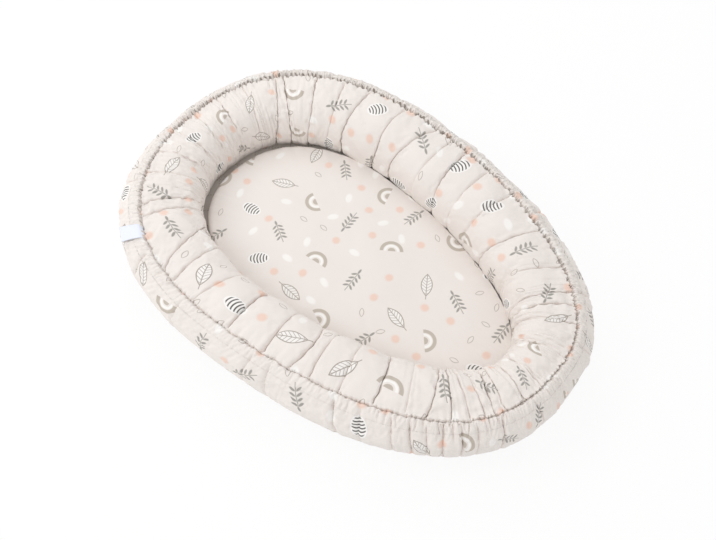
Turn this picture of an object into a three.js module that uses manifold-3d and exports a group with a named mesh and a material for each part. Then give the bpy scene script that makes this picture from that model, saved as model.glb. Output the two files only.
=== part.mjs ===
import * as THREE from 'three';
import { mergeVertices } from 'three/addons/utils/BufferGeometryUtils.js';
import Module from 'manifold-3d';

// An infant lounger: an oval lying pad with a stuffed bumper ring round it.
// +X points to the foot end, +Z up, and the origin is on the floor at the middle.

const wasm = await Module();
wasm.setup();

// Driving dimensions of the bumper, in millimetres

const loungerLength = 900;
const loungerWidth = 634;
const bumperHeight = 114;
const endBumperWidth = 129;
const sideBumperWidth = 152;
const bulgeHeight = 58;
const hollowShift = 6;
const coverThickness = 2.4;
const clothGap = 0.6;
const seamGap = 0.3;

// The plan is an oval with fuller corners than an ellipse, narrower towards the foot end

const outerOval = {
  halfLength: loungerLength / 2,
  halfWidth: loungerWidth / 2,
  power: 2.39,
  narrowingShare: 0.11,
  shift: 0,
};
const innerOval = {
  halfLength: loungerLength / 2 - endBumperWidth,
  halfWidth: loungerWidth / 2 - sideBumperWidth,
  power: 2.25,
  narrowingShare: 0.22,
  shift: hollowShift,
};

// The bumper's section goes by an angle: 0 points outward, a quarter turn is the crest

const degree = Math.PI / 180;
const seamAngle = 69 * degree;
const upperSectionPower = 2.18;
const lowerSectionPower = 2.08;

// Seams, gathers, folds, creases and puffs

const seamGrooveDepth = 8;
const stitchDepth = 2;
const casingWidth = 21;
const casingRise = 1.5;
const gatherDepth = 2.2;
const gatherPitch = 21;
const foldDepth = 3.5;
const foldPitch = 48;
const creaseHalfWidth = 9;
const creaseDepth = 12;
const creaseDepthPower = 0.7;
const creaseRoomShare = 0.33;
const puffRise = 4;
const puffLength = 85;

// Where the top panel is drawn in: the place at the crest and the lean towards the seam, as shares
// of a turn from the foot end, and the depth, as a share of the deepest crease

const creaseShares = [
  [0.026, 0.0, 0.5],
  [0.067, 0.001, 0.6],
  [0.095, 0.006, 0.8],
  [0.158, -0.003, 0.6],
  [0.234, 0.003, 0.8],
  [0.271, -0.006, 0.9],
  [0.3, -0.003, 0.6],
  [0.334, -0.008, 1],
  [0.374, -0.006, 0.8],
  [0.405, -0.001, 1],
  [0.468, -0.004, 0.6],
  [0.52, 0.002, 0.6],
  [0.604, 0.01, 1],
  [0.665, 0.012, 0.9],
  [0.731, 0.005, 0.8],
  [0.783, -0.002, 0.8],
  [0.841, -0.004, 0.9],
  [0.884, -0.008, 1],
  [0.929, -0.003, 0.9],
];

// The rows of the top panel from the seam to its end beside the pad, the share of the seam's groove
// that each takes, and the rows that its inside and the filling keep

const topRowShares = [0, 0.06, 0.14, 0.27, 0.41, 0.56, 0.71, 0.86, 1];
const grooveShares = [1, 0.42, 0, 0, 0, 0, 0, 0, 0];
const keptTopRows = [0, 2, 3, 5, 6, 8];

// The rows of the side band from the casing to the floor, and how far each one folds

const sideRowShares = [0, 0.25, 0.5, 0.76, 1];
const sideFoldShares = [0, 1, 1, 0.7, 0];
const keptSideRows = [0, 1, 3, 4];

// The lying pad

const padEdgeHeight = 36;
const padCrown = 9;
const padCorner = 9;
const padCoverThickness = 1.6;
const padGapAtHead = 9;
const padSteps = 52;
const padRowShares = [0.4, 0.72, 0.92, 1];
const puffClearanceShare = 0.6;

// The elastic in the casing and the binding of the inner seam

const elasticThickness = 1.2;
const elasticEdgeShares = [0.25, 0.75];
const seamTapeWidth = 10;
const seamTapeThickness = 1.8;

// The label, a folded ribbon sewn into the outer seam, with nothing on it

const labelWidth = 30;
const labelLength = 40;
const labelThickness = 1.2;
const labelLean = 12;
const labelPlaceShare = 0.637;
const labelSteps = 3;

// The zip in the underside

const zipEndInset = 190;
const runningGap = 0.3;
const floorClearance = 0.8;
const bailBar = 0.9;
const bailOpening = 1.7;
const bailOpeningLength = 4.2;
const bailWidth = 1.8;
const sliderPlate = 0.7;
const sliderLength = 11;
const sliderWidth = 9;
const sliderCorner = 2;
const sliderPost = 1.2;
const sliderPostLength = 2.4;
const coilHeight = 1.6;
const coilRowWidth = 2;
const toothDepth = 0.8;
const toothPitch = 8;
const tapeWidth = 9;
const tapeThickness = 0.6;
const stopLength = 2.5;
const pullBar = 0.7;
const pullWidth = 7;
const pullLength = 24;
const pullCorner = 2;
const pullEyeWidth = 3.6;
const pullEyeLength = 4.6;

// Curves take this many steps

const outlineSteps = 96;
const cornerSteps = 4;
const arcStep = degree / 4;
const quarterTurn = 0.25;
const halfTurn = 0.5;
const cornerMiddleShare = 1 - Math.SQRT1_2;

// Heights of the zip's pieces from the floor up, their places across it, and along it, where the
// tapes run on past the stops by the length of the pull

const zipLength = loungerLength - 2 * zipEndInset;
const pivotHeight = floorClearance + bailBar + bailOpening / 2;
const lowerPlateBottom = floorClearance + bailBar + bailOpening;
const coilBottom = lowerPlateBottom + sliderPlate + runningGap;
const coilMiddle = coilBottom + coilHeight / 2;
const upperPlateBottom = coilBottom + coilHeight + runningGap;
const baseThickness = upperPlateBottom + sliderPlate + runningGap;
const coilInnerEdge = sliderPost / 2 + runningGap;
const coilOuterEdge = coilInnerEdge + coilRowWidth;
const tapeInnerEdge = coilOuterEdge + seamGap;
const tapeOuterEdge = tapeInnerEdge + tapeWidth;
const baseInnerEdge = tapeOuterEdge + seamGap;
const tapeTail = pullLength;
const coilLength = zipLength - 2 * (tapeTail + stopLength + seamGap);
const stopPlace = (coilLength + stopLength) / 2 + seamGap;
const sliderStart = -coilLength / 2 + sliderLength / 2;

function cloth(color, roughness) {
  return new THREE.MeshStandardMaterial({ color, roughness, metalness: 0 });
}

const printedCotton = cloth(0xeae1d9, 0.88);
const gatheredCotton = cloth(0xe2d8cf, 0.9);
const quiltedCotton = cloth(0xe6dfd8, 0.9);
const fibre = cloth(0xf4f3ef, 0.95);
const elastic = cloth(0xf0efec, 0.8);
const ribbon = cloth(0xeef1f6, 0.6);
const zipCloth = cloth(0xe4ddd6, 0.8);
const nylon = cloth(0xe8e2dc, 0.45);
const metal = new THREE.MeshStandardMaterial({ color: 0xc9c6c1, roughness: 0.35, metalness: 0.9 });

const lounger = new THREE.Group();

function addPiece(name, geometry, material) {
  const mesh = new THREE.Mesh(geometry, material);
  mesh.name = name;
  lounger.add(mesh);
  return mesh;
}

// A point on an oval, a share of a turn round from the foot end, moved inward by an inset

function ovalPoint(oval, turn, inset = 0) {
  const cos = Math.cos(turn * 2 * Math.PI);
  const sin = Math.sin(turn * 2 * Math.PI);
  const fullness = (Math.abs(cos) ** oval.power + Math.abs(sin) ** oval.power) ** (-1 / oval.power);
  const along = cos * fullness;
  const halfWidth = oval.halfWidth * (1 - oval.narrowingShare * along);
  return new THREE.Vector2(
    oval.shift + (oval.halfLength - inset) * along,
    (halfWidth - inset) * sin * fullness,
  );
}

function perimeter(oval) {
  let length = 0;
  for (let i = 0; i < outlineSteps; i++) {
    length += ovalPoint(oval, i / outlineSteps).distanceTo(ovalPoint(oval, (i + 1) / outlineSteps));
  }
  return length;
}

const crestLength = (perimeter(innerOval) + perimeter(outerOval)) / 2;
const meanBumperWidth = (endBumperWidth + sideBumperWidth) / 2;

// The bumper's section at an angle: the share of its width from the inner side, and the height

function sectionAcross(angle) {
  const power = Math.sin(angle) >= 0 ? upperSectionPower : lowerSectionPower;
  const cos = Math.cos(angle);
  return 0.5 + 0.5 * Math.sign(cos) * Math.abs(cos) ** (2 / power);
}

function sectionHeight(angle) {
  const sin = Math.sin(angle);
  if (sin < 0) return bulgeHeight * (1 - Math.abs(sin) ** (2 / lowerSectionPower));
  return bulgeHeight + (bumperHeight - bulgeHeight) * sin ** (2 / upperSectionPower);
}

// How far below the bulge, as an angle, the section comes down to a height

function dropAngle(height) {
  return Math.asin((1 - height / bulgeHeight) ** (lowerSectionPower / 2));
}

// A point of the section in its own plane, drawn in by a depth square to the surface

function sectionPoint(width, angle, depth) {
  const before = new THREE.Vector2(sectionAcross(angle - degree) * width, sectionHeight(angle - degree));
  const after = new THREE.Vector2(sectionAcross(angle + degree) * width, sectionHeight(angle + degree));
  const tangent = after.sub(before).normalize();
  return new THREE.Vector2(
    sectionAcross(angle) * width - tangent.y * depth,
    sectionHeight(angle) + tangent.x * depth,
  );
}

// The same point in space, at a share of a turn round the bumper

function ringPoint(turn, angle, depth) {
  const inner = ovalPoint(innerOval, turn);
  const outer = ovalPoint(outerOval, turn);
  const width = inner.distanceTo(outer);
  const point = sectionPoint(width, angle, depth);
  const plan = inner.lerp(outer, point.x / width);
  return new THREE.Vector3(plan.x, plan.y, point.y);
}

// The angle that lies a length further out along the section

function angleOutward(start, length) {
  let angle = start;
  let gone = 0;
  while (gone < length) {
    const here = sectionPoint(meanBumperWidth, angle, 0);
    gone += here.distanceTo(sectionPoint(meanBumperWidth, angle - arcStep, 0));
    angle -= arcStep;
  }
  return angle;
}

// Where the cover's pieces start and end, with a seam's gap between neighbours

const seamTapeTop = baseThickness + seamGap + seamTapeThickness;
const gapAngle = Math.atan(seamGap / bulgeHeight);
const topStartAngle = seamAngle + gapAngle;
const topEndAngle = Math.PI + dropAngle(seamTapeTop + seamGap);
const casingEndAngle = angleOutward(seamAngle, casingWidth);
const sideStartAngle = casingEndAngle - gapAngle;
const sideEndAngle = -dropAngle(baseThickness + seamGap);

// Stations round the bumper: each crease has a valley and two shoulders, with puffs in between

function wrapShare(share) {
  return share - Math.floor(share);
}

function makeStations() {
  const spans = creaseShares.map(([place], i) => {
    const [next] = creaseShares[(i + 1) % creaseShares.length];
    return wrapShare(next - place);
  });
  const halves = spans.map((span, i) => {
    const nearest = Math.min(span, spans.at(i - 1));
    return Math.min(creaseHalfWidth / crestLength, nearest * creaseRoomShare);
  });
  return creaseShares.flatMap(([place, lean, depthShare], i) => {
    const next = (i + 1) % creaseShares.length;
    const start = place + halves[i];
    const length = spans[i] - halves[i] - halves[next];
    const puffs = Math.max(1, Math.round((length * crestLength) / puffLength));
    const between = Array.from({ length: puffs }, (_, k) => {
      const share = (k + 1) / (puffs + 1);
      return {
        turn: start + length * share,
        lean: THREE.MathUtils.lerp(lean, creaseShares[next][1], share),
        depth: -puffRise * Math.sin(Math.PI * share),
      };
    });
    return [
      { turn: place - halves[i], lean, depth: 0 },
      { turn: place, lean, depth: creaseDepth * depthShare },
      { turn: start, lean, depth: 0 },
      ...between,
    ];
  });
}

const stations = makeStations();

// A crease is deepest over the crest and dies out at the seam and beside the pad

function topPoint(station, row, below) {
  const share = topRowShares[row];
  const angle = THREE.MathUtils.lerp(topStartAngle, topEndAngle, share);
  const turn = station.turn + station.lean * (1 - 2 * share);
  const creased = station.depth * Math.sin(Math.PI * share ** creaseDepthPower);
  const depth = seamGrooveDepth * grooveShares[row] + creased;
  return ringPoint(turn, angle, depth + below);
}

// The casing and the side band follow the straight chords between stations, so that they lie on
// what is under them, and their gathers and folds only stand outward

const seamTurns = stations.map((station) => station.turn + station.lean);
const outerLength = perimeter(outerOval);

function foldPlaces(pitch) {
  const places = seamTurns.flatMap((start, i) => {
    const end = seamTurns[i + 1] ?? seamTurns[0] + 1;
    const count = Math.max(1, Math.round(((end - start) * outerLength * 2) / pitch));
    return Array.from({ length: count }, (_, k) => ({ start, end, share: k / count }));
  });
  return places.map((place, i) => ({ ...place, high: i % 2 }));
}

function chordPoint(place, angle, depth) {
  return ringPoint(place.start, angle, depth).lerp(ringPoint(place.end, angle, depth), place.share);
}

// A point of the cover's outer side at any turn, on those chords

function coverPoint(turn, angle, depth) {
  const i = seamTurns.findLastIndex((start) => start <= turn);
  const start = seamTurns[i];
  const end = seamTurns[i + 1] ?? seamTurns[0] + 1;
  return chordPoint({ start, end, share: (turn - start) / (end - start) }, angle, depth);
}

function sideAngle(row) {
  return THREE.MathUtils.lerp(sideStartAngle, sideEndAngle, sideRowShares[row]);
}

function sideDepth(row) {
  return row === 0 ? stitchDepth : 0;
}

function geometryFrom(points, index) {
  const geometry = new THREE.BufferGeometry().setFromPoints(points);
  geometry.setIndex(index);
  return geometry;
}

// Turns every face over if a closed body's volume comes out negative

function outward(geometry) {
  const position = geometry.getAttribute('position');
  const index = Array.from(geometry.getIndex().array);
  const corner = (i) => new THREE.Vector3().fromBufferAttribute(position, index[i]);
  let volume = 0;
  for (let i = 0; i < index.length; i += 3) {
    volume += corner(i).dot(corner(i + 1).cross(corner(i + 2)));
  }
  if (volume < 0) geometry.setIndex(index.reverse());
  geometry.computeVertexNormals();
  return geometry;
}

// Joins loops of points, one after another, into a closed body, either round a ring or with ends

function sweep(loops, closed) {
  const size = loops[0].length;
  const index = [];
  loops.slice(closed ? 0 : 1).forEach((_, i) => {
    const here = i * size;
    const next = ((i + 1) % loops.length) * size;
    for (let j = 0; j < size; j++) {
      const k = (j + 1) % size;
      index.push(here + j, next + j, next + k, here + j, next + k, here + k);
    }
  });
  if (!closed) {
    const end = (loops.length - 1) * size;
    for (let j = 0; j < size / 2 - 1; j++) {
      const far = size - 1 - j;
      index.push(j, j + 1, far - 1, j, far - 1, far);
      index.push(end + j, end + far - 1, end + j + 1, end + j, end + far, end + far - 1);
    }
  }
  return outward(geometryFrom(loops.flat(), index));
}

// Joins rings of points, one inside another, into a body that ends in a point at each end

function dome(rings, firstApex, lastApex) {
  const size = rings[0].length;
  const points = [...rings.flat(), firstApex, lastApex];
  const first = rings.length * size;
  const last = first + 1;
  const index = [];
  for (let j = 0; j < size; j++) {
    const k = (j + 1) % size;
    index.push(first, j, k);
    for (let i = 0; i < rings.length - 1; i++) {
      const here = i * size;
      const next = here + size;
      index.push(here + j, next + j, next + k, here + j, next + k, here + k);
    }
    const end = (rings.length - 1) * size;
    index.push(last, end + k, end + j);
  }
  return outward(geometryFrom(points, index));
}

// The bumper's top panel: thick cloth, drawn in at the outer seam and at every crease

function topPanelGeometry() {
  const loops = stations.map((station) => {
    const outside = topRowShares.map((_, row) => topPoint(station, row, 0));
    const inside = keptTopRows.map((row) => topPoint(station, row, coverThickness));
    return [...outside, ...inside.reverse()];
  });
  return sweep(loops, true);
}

// The casing: a finely gathered strip, tight at the seam and at its second line of stitches

const casingMiddleAngle = (seamAngle + casingEndAngle) / 2;
const casingMiddleDepth = (seamGrooveDepth + stitchDepth) / 2 - casingRise;

function casingGeometry() {
  const loops = foldPlaces(gatherPitch).map((place) => [
    chordPoint(place, seamAngle, seamGrooveDepth),
    chordPoint(place, casingMiddleAngle, casingMiddleDepth - gatherDepth * place.high),
    chordPoint(place, casingEndAngle, stitchDepth),
    chordPoint(place, casingEndAngle, stitchDepth + coverThickness),
    chordPoint(place, seamAngle, seamGrooveDepth + coverThickness),
  ]);
  return sweep(loops, true);
}

// The side band: folds that fall from the casing and die out at the floor

function sideBandGeometry() {
  const loops = foldPlaces(foldPitch).map((place) => {
    const outside = sideFoldShares.map((foldShare, row) => (
      chordPoint(place, sideAngle(row), sideDepth(row) - foldDepth * foldShare * place.high)
    ));
    const inside = keptSideRows.map((row) => (
      chordPoint(place, sideAngle(row), sideDepth(row) + coverThickness)
    ));
    return [...outside, ...inside.reverse()];
  });
  return sweep(loops, true);
}

// The elastic lies flat under the casing

const elasticBelow = coverThickness + clothGap;
const channelBelow = elasticBelow + elasticThickness + clothGap;

function elasticGeometry() {
  const loops = seamTurns.map((turn) => {
    const point = (share, below) => {
      const start = ringPoint(turn, seamAngle, seamGrooveDepth + below);
      return start.lerp(ringPoint(turn, casingEndAngle, stitchDepth + below), share);
    };
    const [near, far] = elasticEdgeShares;
    return [
      point(near, elasticBelow),
      point(far, elasticBelow),
      point(far, elasticBelow + elasticThickness),
      point(near, elasticBelow + elasticThickness),
    ];
  });
  return sweep(loops, true);
}

// The fibre roll fills the cover, with a channel for the elastic

function rollGeometry() {
  const below = coverThickness + clothGap;
  const loops = stations.map((station, i) => [
    ...keptTopRows.map((row) => topPoint(station, row, row === 0 ? channelBelow : below)).reverse(),
    ringPoint(seamTurns[i], casingEndAngle, stitchDepth + channelBelow),
    ...keptSideRows.slice(1).map((row) => ringPoint(seamTurns[i], sideAngle(row), below)),
  ]);
  return sweep(loops, true);
}

// The binding of the inner seam lies on the base, under the end of the top panel

function seamTapeGeometry() {
  const loops = stations.map((station) => {
    const top = ringPoint(station.turn - station.lean, topEndAngle, 0);
    const back = ringPoint(station.turn - station.lean, topEndAngle, seamTapeWidth);
    const across = new THREE.Vector2(top.x - back.x, top.y - back.y).setLength(seamTapeWidth / 2);
    const corner = (side, height) => (
      new THREE.Vector3(top.x + side * across.x, top.y + side * across.y, height)
    );
    return [
      corner(-1, baseThickness + seamGap),
      corner(1, baseThickness + seamGap),
      corner(1, seamTapeTop),
      corner(-1, seamTapeTop),
    ];
  });
  return sweep(loops, true);
}

// The label starts in the outer seam, lies over the casing and leans to one side as it hangs

function labelGeometry() {
  const loops = Array.from({ length: labelSteps + 1 }, (_, i) => {
    const across = labelWidth * (i / labelSteps - 0.5);
    const turnAt = (distance) => {
      const shift = across - labelLean * (distance / labelLength);
      return labelPlaceShare + shift / outerLength;
    };
    const over = casingMiddleDepth - gatherDepth;
    const run = (raised) => {
      const hem = coverPoint(turnAt(casingWidth), casingEndAngle, stitchDepth - raised);
      const fold = coverPoint(turnAt(labelLength), sideAngle(1), -foldDepth - raised);
      return [
        coverPoint(turnAt(0), seamAngle, seamGrooveDepth - raised),
        coverPoint(turnAt(casingWidth / 2), casingMiddleAngle, over - raised),
        hem,
        hem.clone().add(fold.sub(hem).setLength(labelLength - casingWidth)),
      ];
    };
    return [...run(seamGap + labelThickness), ...run(seamGap).reverse()];
  });
  return sweep(loops, false);
}

// The pad is a crowned board inside the hollow, with a wider gap at the head end

const padInset = clothGap + puffRise * puffClearanceShare;
const padOval = {
  ...innerOval,
  halfLength: innerOval.halfLength - padInset - padGapAtHead / 2,
  halfWidth: innerOval.halfWidth - padInset,
  shift: innerOval.shift + padGapAtHead / 2,
};
const padBottom = baseThickness + seamGap;

function padRing(share, inset, height) {
  const middle = new THREE.Vector2(padOval.shift, 0);
  return Array.from({ length: padSteps }, (_, i) => {
    const plan = ovalPoint(padOval, i / padSteps, inset).sub(middle).multiplyScalar(share).add(middle);
    return new THREE.Vector3(plan.x, plan.y, height);
  });
}

// Rings of the pad's surface from the crown to the bottom edge, moved inside it by a depth

function padRings(depth, bottom) {
  const top = padRowShares.map((share) => (
    padRing(share, padCorner + depth / 2, padEdgeHeight + padCrown * (1 - share ** 2) - depth)
  ));
  const cut = padCorner * cornerMiddleShare;
  return [
    ...top,
    padRing(1, cut + depth, padEdgeHeight - cut - depth / 2),
    padRing(1, depth, padEdgeHeight - padCorner - depth / 2),
    padRing(1, depth, bottom),
  ];
}

function padApex(height) {
  return new THREE.Vector3(padOval.shift, 0, height);
}

function padCoverTopGeometry() {
  const crown = padEdgeHeight + padCrown;
  const rings = [...padRings(0, padBottom), ...padRings(padCoverThickness, padBottom).reverse()];
  return dome(rings, padApex(crown), padApex(crown - padCoverThickness));
}

const padCoreBottom = padBottom + padCoverThickness + clothGap;

function padCoreGeometry() {
  const depth = padCoverThickness + clothGap;
  const rings = padRings(depth, padCoreBottom);
  return dome(rings, padApex(padEdgeHeight + padCrown - depth), padApex(padCoreBottom));
}

function padCoverBottomGeometry() {
  const inset = padCoverThickness + clothGap;
  const rings = [padRing(1, inset, padBottom + padCoverThickness), padRing(1, inset, padBottom)];
  return dome(rings, padApex(padBottom + padCoverThickness), padApex(padBottom));
}

// The base's outline is where the side band comes down

function basePoint(turn) {
  const share = sectionAcross(sideEndAngle);
  return ovalPoint(innerOval, turn).lerp(ovalPoint(outerOval, turn), share);
}

// The share of a turn, close to the foot or the head end, where the base is a given distance across

function turnAcross(distance, endTurn) {
  let near = endTurn;
  let far = quarterTurn;
  for (let i = 0; i < outlineSteps; i++) {
    const middle = (near + far) / 2;
    if (basePoint(middle).y < distance) near = middle;
    else far = middle;
  }
  return near;
}

function baseArc(start, end) {
  return Array.from({ length: outlineSteps / 2 + 1 }, (_, i) => (
    basePoint(THREE.MathUtils.lerp(start, end, (2 * i) / outlineSteps))
  ));
}

function slab(outline, thickness) {
  return new THREE.ExtrudeGeometry(new THREE.Shape(outline), { depth: thickness, bevelEnabled: false });
}

function baseHalfGeometry(side) {
  const arc = baseArc(turnAcross(baseInnerEdge, 0), turnAcross(baseInnerEdge, halfTurn));
  return slab(arc.map((point) => new THREE.Vector2(point.x, point.y * side)), baseThickness);
}

// The cloth tab past an end of the zip, between the two halves of the base

function endTabGeometry(endTurn, direction) {
  const halfWidth = tapeOuterEdge;
  const reach = turnAcross(halfWidth, endTurn) - endTurn;
  const start = direction * (zipLength / 2 + seamGap);
  const arc = Array.from({ length: cornerSteps + 1 }, (_, i) => (
    basePoint(endTurn - reach + (2 * reach * i) / cornerSteps)
  ));
  return slab([
    ...arc,
    new THREE.Vector2(start, arc.at(-1).y),
    new THREE.Vector2(start, arc[0].y),
  ], baseThickness);
}

// Boxes and slabs joined into one solid

function solidOf(geometry) {
  const bare = geometry.clone();
  bare.deleteAttribute('normal');
  bare.deleteAttribute('uv');
  const merged = mergeVertices(bare);
  return new wasm.Manifold(new wasm.Mesh({
    numProp: 3,
    vertProperties: merged.getAttribute('position').array,
    triVerts: new Uint32Array(merged.getIndex().array),
  }));
}

function joined(geometries) {
  const solid = geometries.map(solidOf).reduce((sum, next) => sum.add(next));
  const mesh = solid.getMesh();
  const geometry = new THREE.BufferGeometry();
  geometry.setAttribute('position', new THREE.BufferAttribute(mesh.vertProperties, 3));
  geometry.setIndex(new THREE.BufferAttribute(mesh.triVerts, 1));
  geometry.computeVertexNormals();
  return geometry;
}

function box(length, width, height, x, y, bottom) {
  return new THREE.BoxGeometry(length, width, height).translate(x, y, bottom + height / 2);
}

function roundedSlab(length, width, corner, thickness, bottom) {
  const shape = new THREE.Shape();
  const x = length / 2;
  const y = width / 2;
  shape.absarc(x - corner, y - corner, corner, 0, Math.PI / 2);
  shape.absarc(corner - x, y - corner, corner, Math.PI / 2, Math.PI);
  shape.absarc(corner - x, corner - y, corner, Math.PI, 1.5 * Math.PI);
  shape.absarc(x - corner, corner - y, corner, 1.5 * Math.PI, 2 * Math.PI);
  const settings = { depth: thickness, bevelEnabled: false, curveSegments: cornerSteps };
  return new THREE.ExtrudeGeometry(shape, settings).translate(0, 0, bottom);
}

// A row of the zip's teeth, which point to the middle

function coilGeometry(side) {
  const teeth = Math.round(coilLength / toothPitch);
  const step = coilLength / teeth / 2;
  const toothEdge = Array.from({ length: 2 * teeth + 1 }, (_, i) => new THREE.Vector2(
    -coilLength / 2 + i * step,
    side * (coilInnerEdge + (i % 2 ? 0 : toothDepth)),
  ));
  const outline = [
    ...toothEdge,
    new THREE.Vector2(coilLength / 2, side * coilOuterEdge),
    new THREE.Vector2(-coilLength / 2, side * coilOuterEdge),
  ];
  return slab(outline, coilHeight).translate(0, 0, coilBottom);
}

function tapeGeometry(side) {
  const middle = side * (tapeInnerEdge + tapeWidth / 2);
  return box(zipLength, tapeWidth, tapeThickness, 0, middle, coilMiddle - tapeThickness / 2);
}

function topStopGeometry(side) {
  const y = side * (coilInnerEdge + coilRowWidth / 2);
  return box(stopLength, coilRowWidth, coilHeight, -stopPlace, y, coilBottom);
}

function bottomStopGeometry() {
  return box(stopLength, 2 * coilOuterEdge, coilHeight, stopPlace, 0, coilBottom);
}

// The slider: two plates round the teeth, a post between them at the closed end, and a bail below

function sliderGeometry() {
  const overlap = sliderPlate / 2;
  const plate = (bottom) => roundedSlab(sliderLength, sliderWidth, sliderCorner, sliderPlate, bottom);
  const postHeight = upperPlateBottom - lowerPlateBottom;
  const postPlace = (sliderPostLength - sliderLength) / 2 + sliderCorner / 2;
  const legHeight = lowerPlateBottom - floorClearance + overlap;
  const legPlace = (bailOpeningLength + bailBar) / 2;
  const bailLength = bailOpeningLength + 2 * bailBar;
  return joined([
    plate(lowerPlateBottom),
    plate(upperPlateBottom),
    box(sliderPostLength, sliderPost, postHeight, postPlace, 0, lowerPlateBottom + overlap),
    box(bailBar, bailWidth, legHeight, -legPlace, 0, floorClearance),
    box(bailBar, bailWidth, legHeight, legPlace, 0, floorClearance),
    box(bailLength, bailWidth, bailBar, 0, 0, floorClearance),
  ]).translate(sliderStart, 0, 0);
}

// The pull: a tab whose eye has its near bar in the bail, and which swings on that bar

function pullGeometry() {
  const start = -pullBar / 2;
  const shape = new THREE.Shape();
  shape.moveTo(start, -pullWidth / 2);
  shape.lineTo(pullLength - pullCorner, -pullWidth / 2);
  shape.absarc(pullLength - pullCorner, pullCorner - pullWidth / 2, pullCorner, -Math.PI / 2, 0);
  shape.absarc(pullLength - pullCorner, pullWidth / 2 - pullCorner, pullCorner, 0, Math.PI / 2);
  shape.lineTo(start, pullWidth / 2);
  const eyeStart = pullBar / 2;
  const eyeEnd = eyeStart + pullEyeLength;
  shape.holes.push(new THREE.Path([
    new THREE.Vector2(eyeStart, -pullEyeWidth / 2),
    new THREE.Vector2(eyeEnd, -pullEyeWidth / 2),
    new THREE.Vector2(eyeEnd, pullEyeWidth / 2),
    new THREE.Vector2(eyeStart, pullEyeWidth / 2),
  ]));
  const settings = { depth: pullBar, bevelEnabled: false, curveSegments: cornerSteps };
  return new THREE.ExtrudeGeometry(shape, settings).translate(sliderStart, 0, pivotHeight - pullBar / 2);
}

addPiece('bumper_top_panel', topPanelGeometry(), printedCotton);
addPiece('elastic_casing', casingGeometry(), gatheredCotton);
addPiece('bumper_side_band', sideBandGeometry(), printedCotton);
addPiece('bumper_roll', rollGeometry(), fibre);
addPiece('casing_elastic', elasticGeometry(), elastic);
addPiece('inner_seam_tape', seamTapeGeometry(), zipCloth);
addPiece('side_label', labelGeometry(), ribbon);
addPiece('mattress_cover_top', padCoverTopGeometry(), printedCotton);
addPiece('mattress_core', padCoreGeometry(), fibre);
addPiece('mattress_cover_bottom', padCoverBottomGeometry(), quiltedCotton);
addPiece('base_panel_left', baseHalfGeometry(1), quiltedCotton);
addPiece('base_panel_right', baseHalfGeometry(-1), quiltedCotton);
addPiece('zip_end_tab_foot', endTabGeometry(0, 1), zipCloth);
addPiece('zip_end_tab_head', endTabGeometry(halfTurn, -1), zipCloth);
addPiece('zip_tape_left', tapeGeometry(1), zipCloth);
addPiece('zip_tape_right', tapeGeometry(-1), zipCloth);
addPiece('zip_coil_left', coilGeometry(1), nylon);
addPiece('zip_coil_right', coilGeometry(-1), nylon);
addPiece('zip_top_stop_left', topStopGeometry(1), metal);
addPiece('zip_top_stop_right', topStopGeometry(-1), metal);
addPiece('zip_bottom_stop', bottomStopGeometry(), metal);
addPiece('zip_slider', sliderGeometry(), metal);
addPiece('zip_pull', pullGeometry(), metal);

export default lounger;
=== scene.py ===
import math

import bpy
import numpy as np
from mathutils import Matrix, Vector


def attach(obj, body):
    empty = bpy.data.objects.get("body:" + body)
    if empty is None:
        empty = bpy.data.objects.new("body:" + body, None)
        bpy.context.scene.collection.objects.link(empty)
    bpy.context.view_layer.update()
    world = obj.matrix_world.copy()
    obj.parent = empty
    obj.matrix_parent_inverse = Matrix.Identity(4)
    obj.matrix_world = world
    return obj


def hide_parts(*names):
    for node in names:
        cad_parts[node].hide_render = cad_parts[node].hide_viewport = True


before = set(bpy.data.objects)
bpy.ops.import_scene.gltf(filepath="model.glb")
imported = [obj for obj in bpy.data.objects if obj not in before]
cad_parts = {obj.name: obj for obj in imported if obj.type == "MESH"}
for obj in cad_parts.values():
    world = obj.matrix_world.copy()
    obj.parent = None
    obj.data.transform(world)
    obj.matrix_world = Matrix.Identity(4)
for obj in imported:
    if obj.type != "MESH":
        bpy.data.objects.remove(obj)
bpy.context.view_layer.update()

# The looks of an infant lounger. Lengths are in metres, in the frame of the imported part, and the
# bumper's section goes by an angle: 0 points outward, 90 degrees is the crest, 180 the pad's side.

TURN = 2 * math.pi
MM = 0.001
SEED = 11
OUTER_OVAL = {"length": 0.450, "width": 0.317, "power": 2.39, "narrowing": 0.11, "shift": 0.0}
INNER_OVAL = {"length": 0.321, "width": 0.165, "power": 2.25, "narrowing": 0.22, "shift": 0.006}
BUMPER_HEIGHT = 0.114
BULGE_HEIGHT = 0.058
UPPER_POWER = 2.18
LOWER_POWER = 2.08
COVER = 0.0016
SEAM_ANGLE = math.radians(69)
SEAM_ROOM = 0.0003
CASING_WIDTH = 0.021
SEAM_DEPTH = 0.008
STITCH_DEPTH = 0.002
BASE_TOP = 0.0073
TAPE_TOP = 0.0097


def oval(shape, turn, inset=0.0):
    cos = np.cos(turn * TURN)
    sin = np.sin(turn * TURN)
    power = shape["power"]
    fullness = (np.abs(cos) ** power + np.abs(sin) ** power) ** (-1 / power)
    along = cos * fullness
    width = shape["width"] * (1 - shape["narrowing"] * along)
    x = shape["shift"] + (shape["length"] - inset) * along
    return np.stack([x, (width - inset) * sin * fullness], -1)


def cubic(a, b, c, d, t):
    """From b to c by the share t, smooth with a before them and d after."""
    return b + 0.5 * t * (c - a + t * (2 * a - 5 * b + 4 * c - d + t * (3 * (b - c) + d - a)))


def eased(values):
    """A smooth closed line through values evenly spaced round the ring, as a function of the turn."""
    values = np.array(values)

    def at(turn):
        place = np.mod(turn, 1) * len(values)
        here = np.floor(place).astype(int)
        return cubic(*(values[(here + k) % len(values)] for k in (-1, 0, 1, 2)), place - here)

    return at


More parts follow.
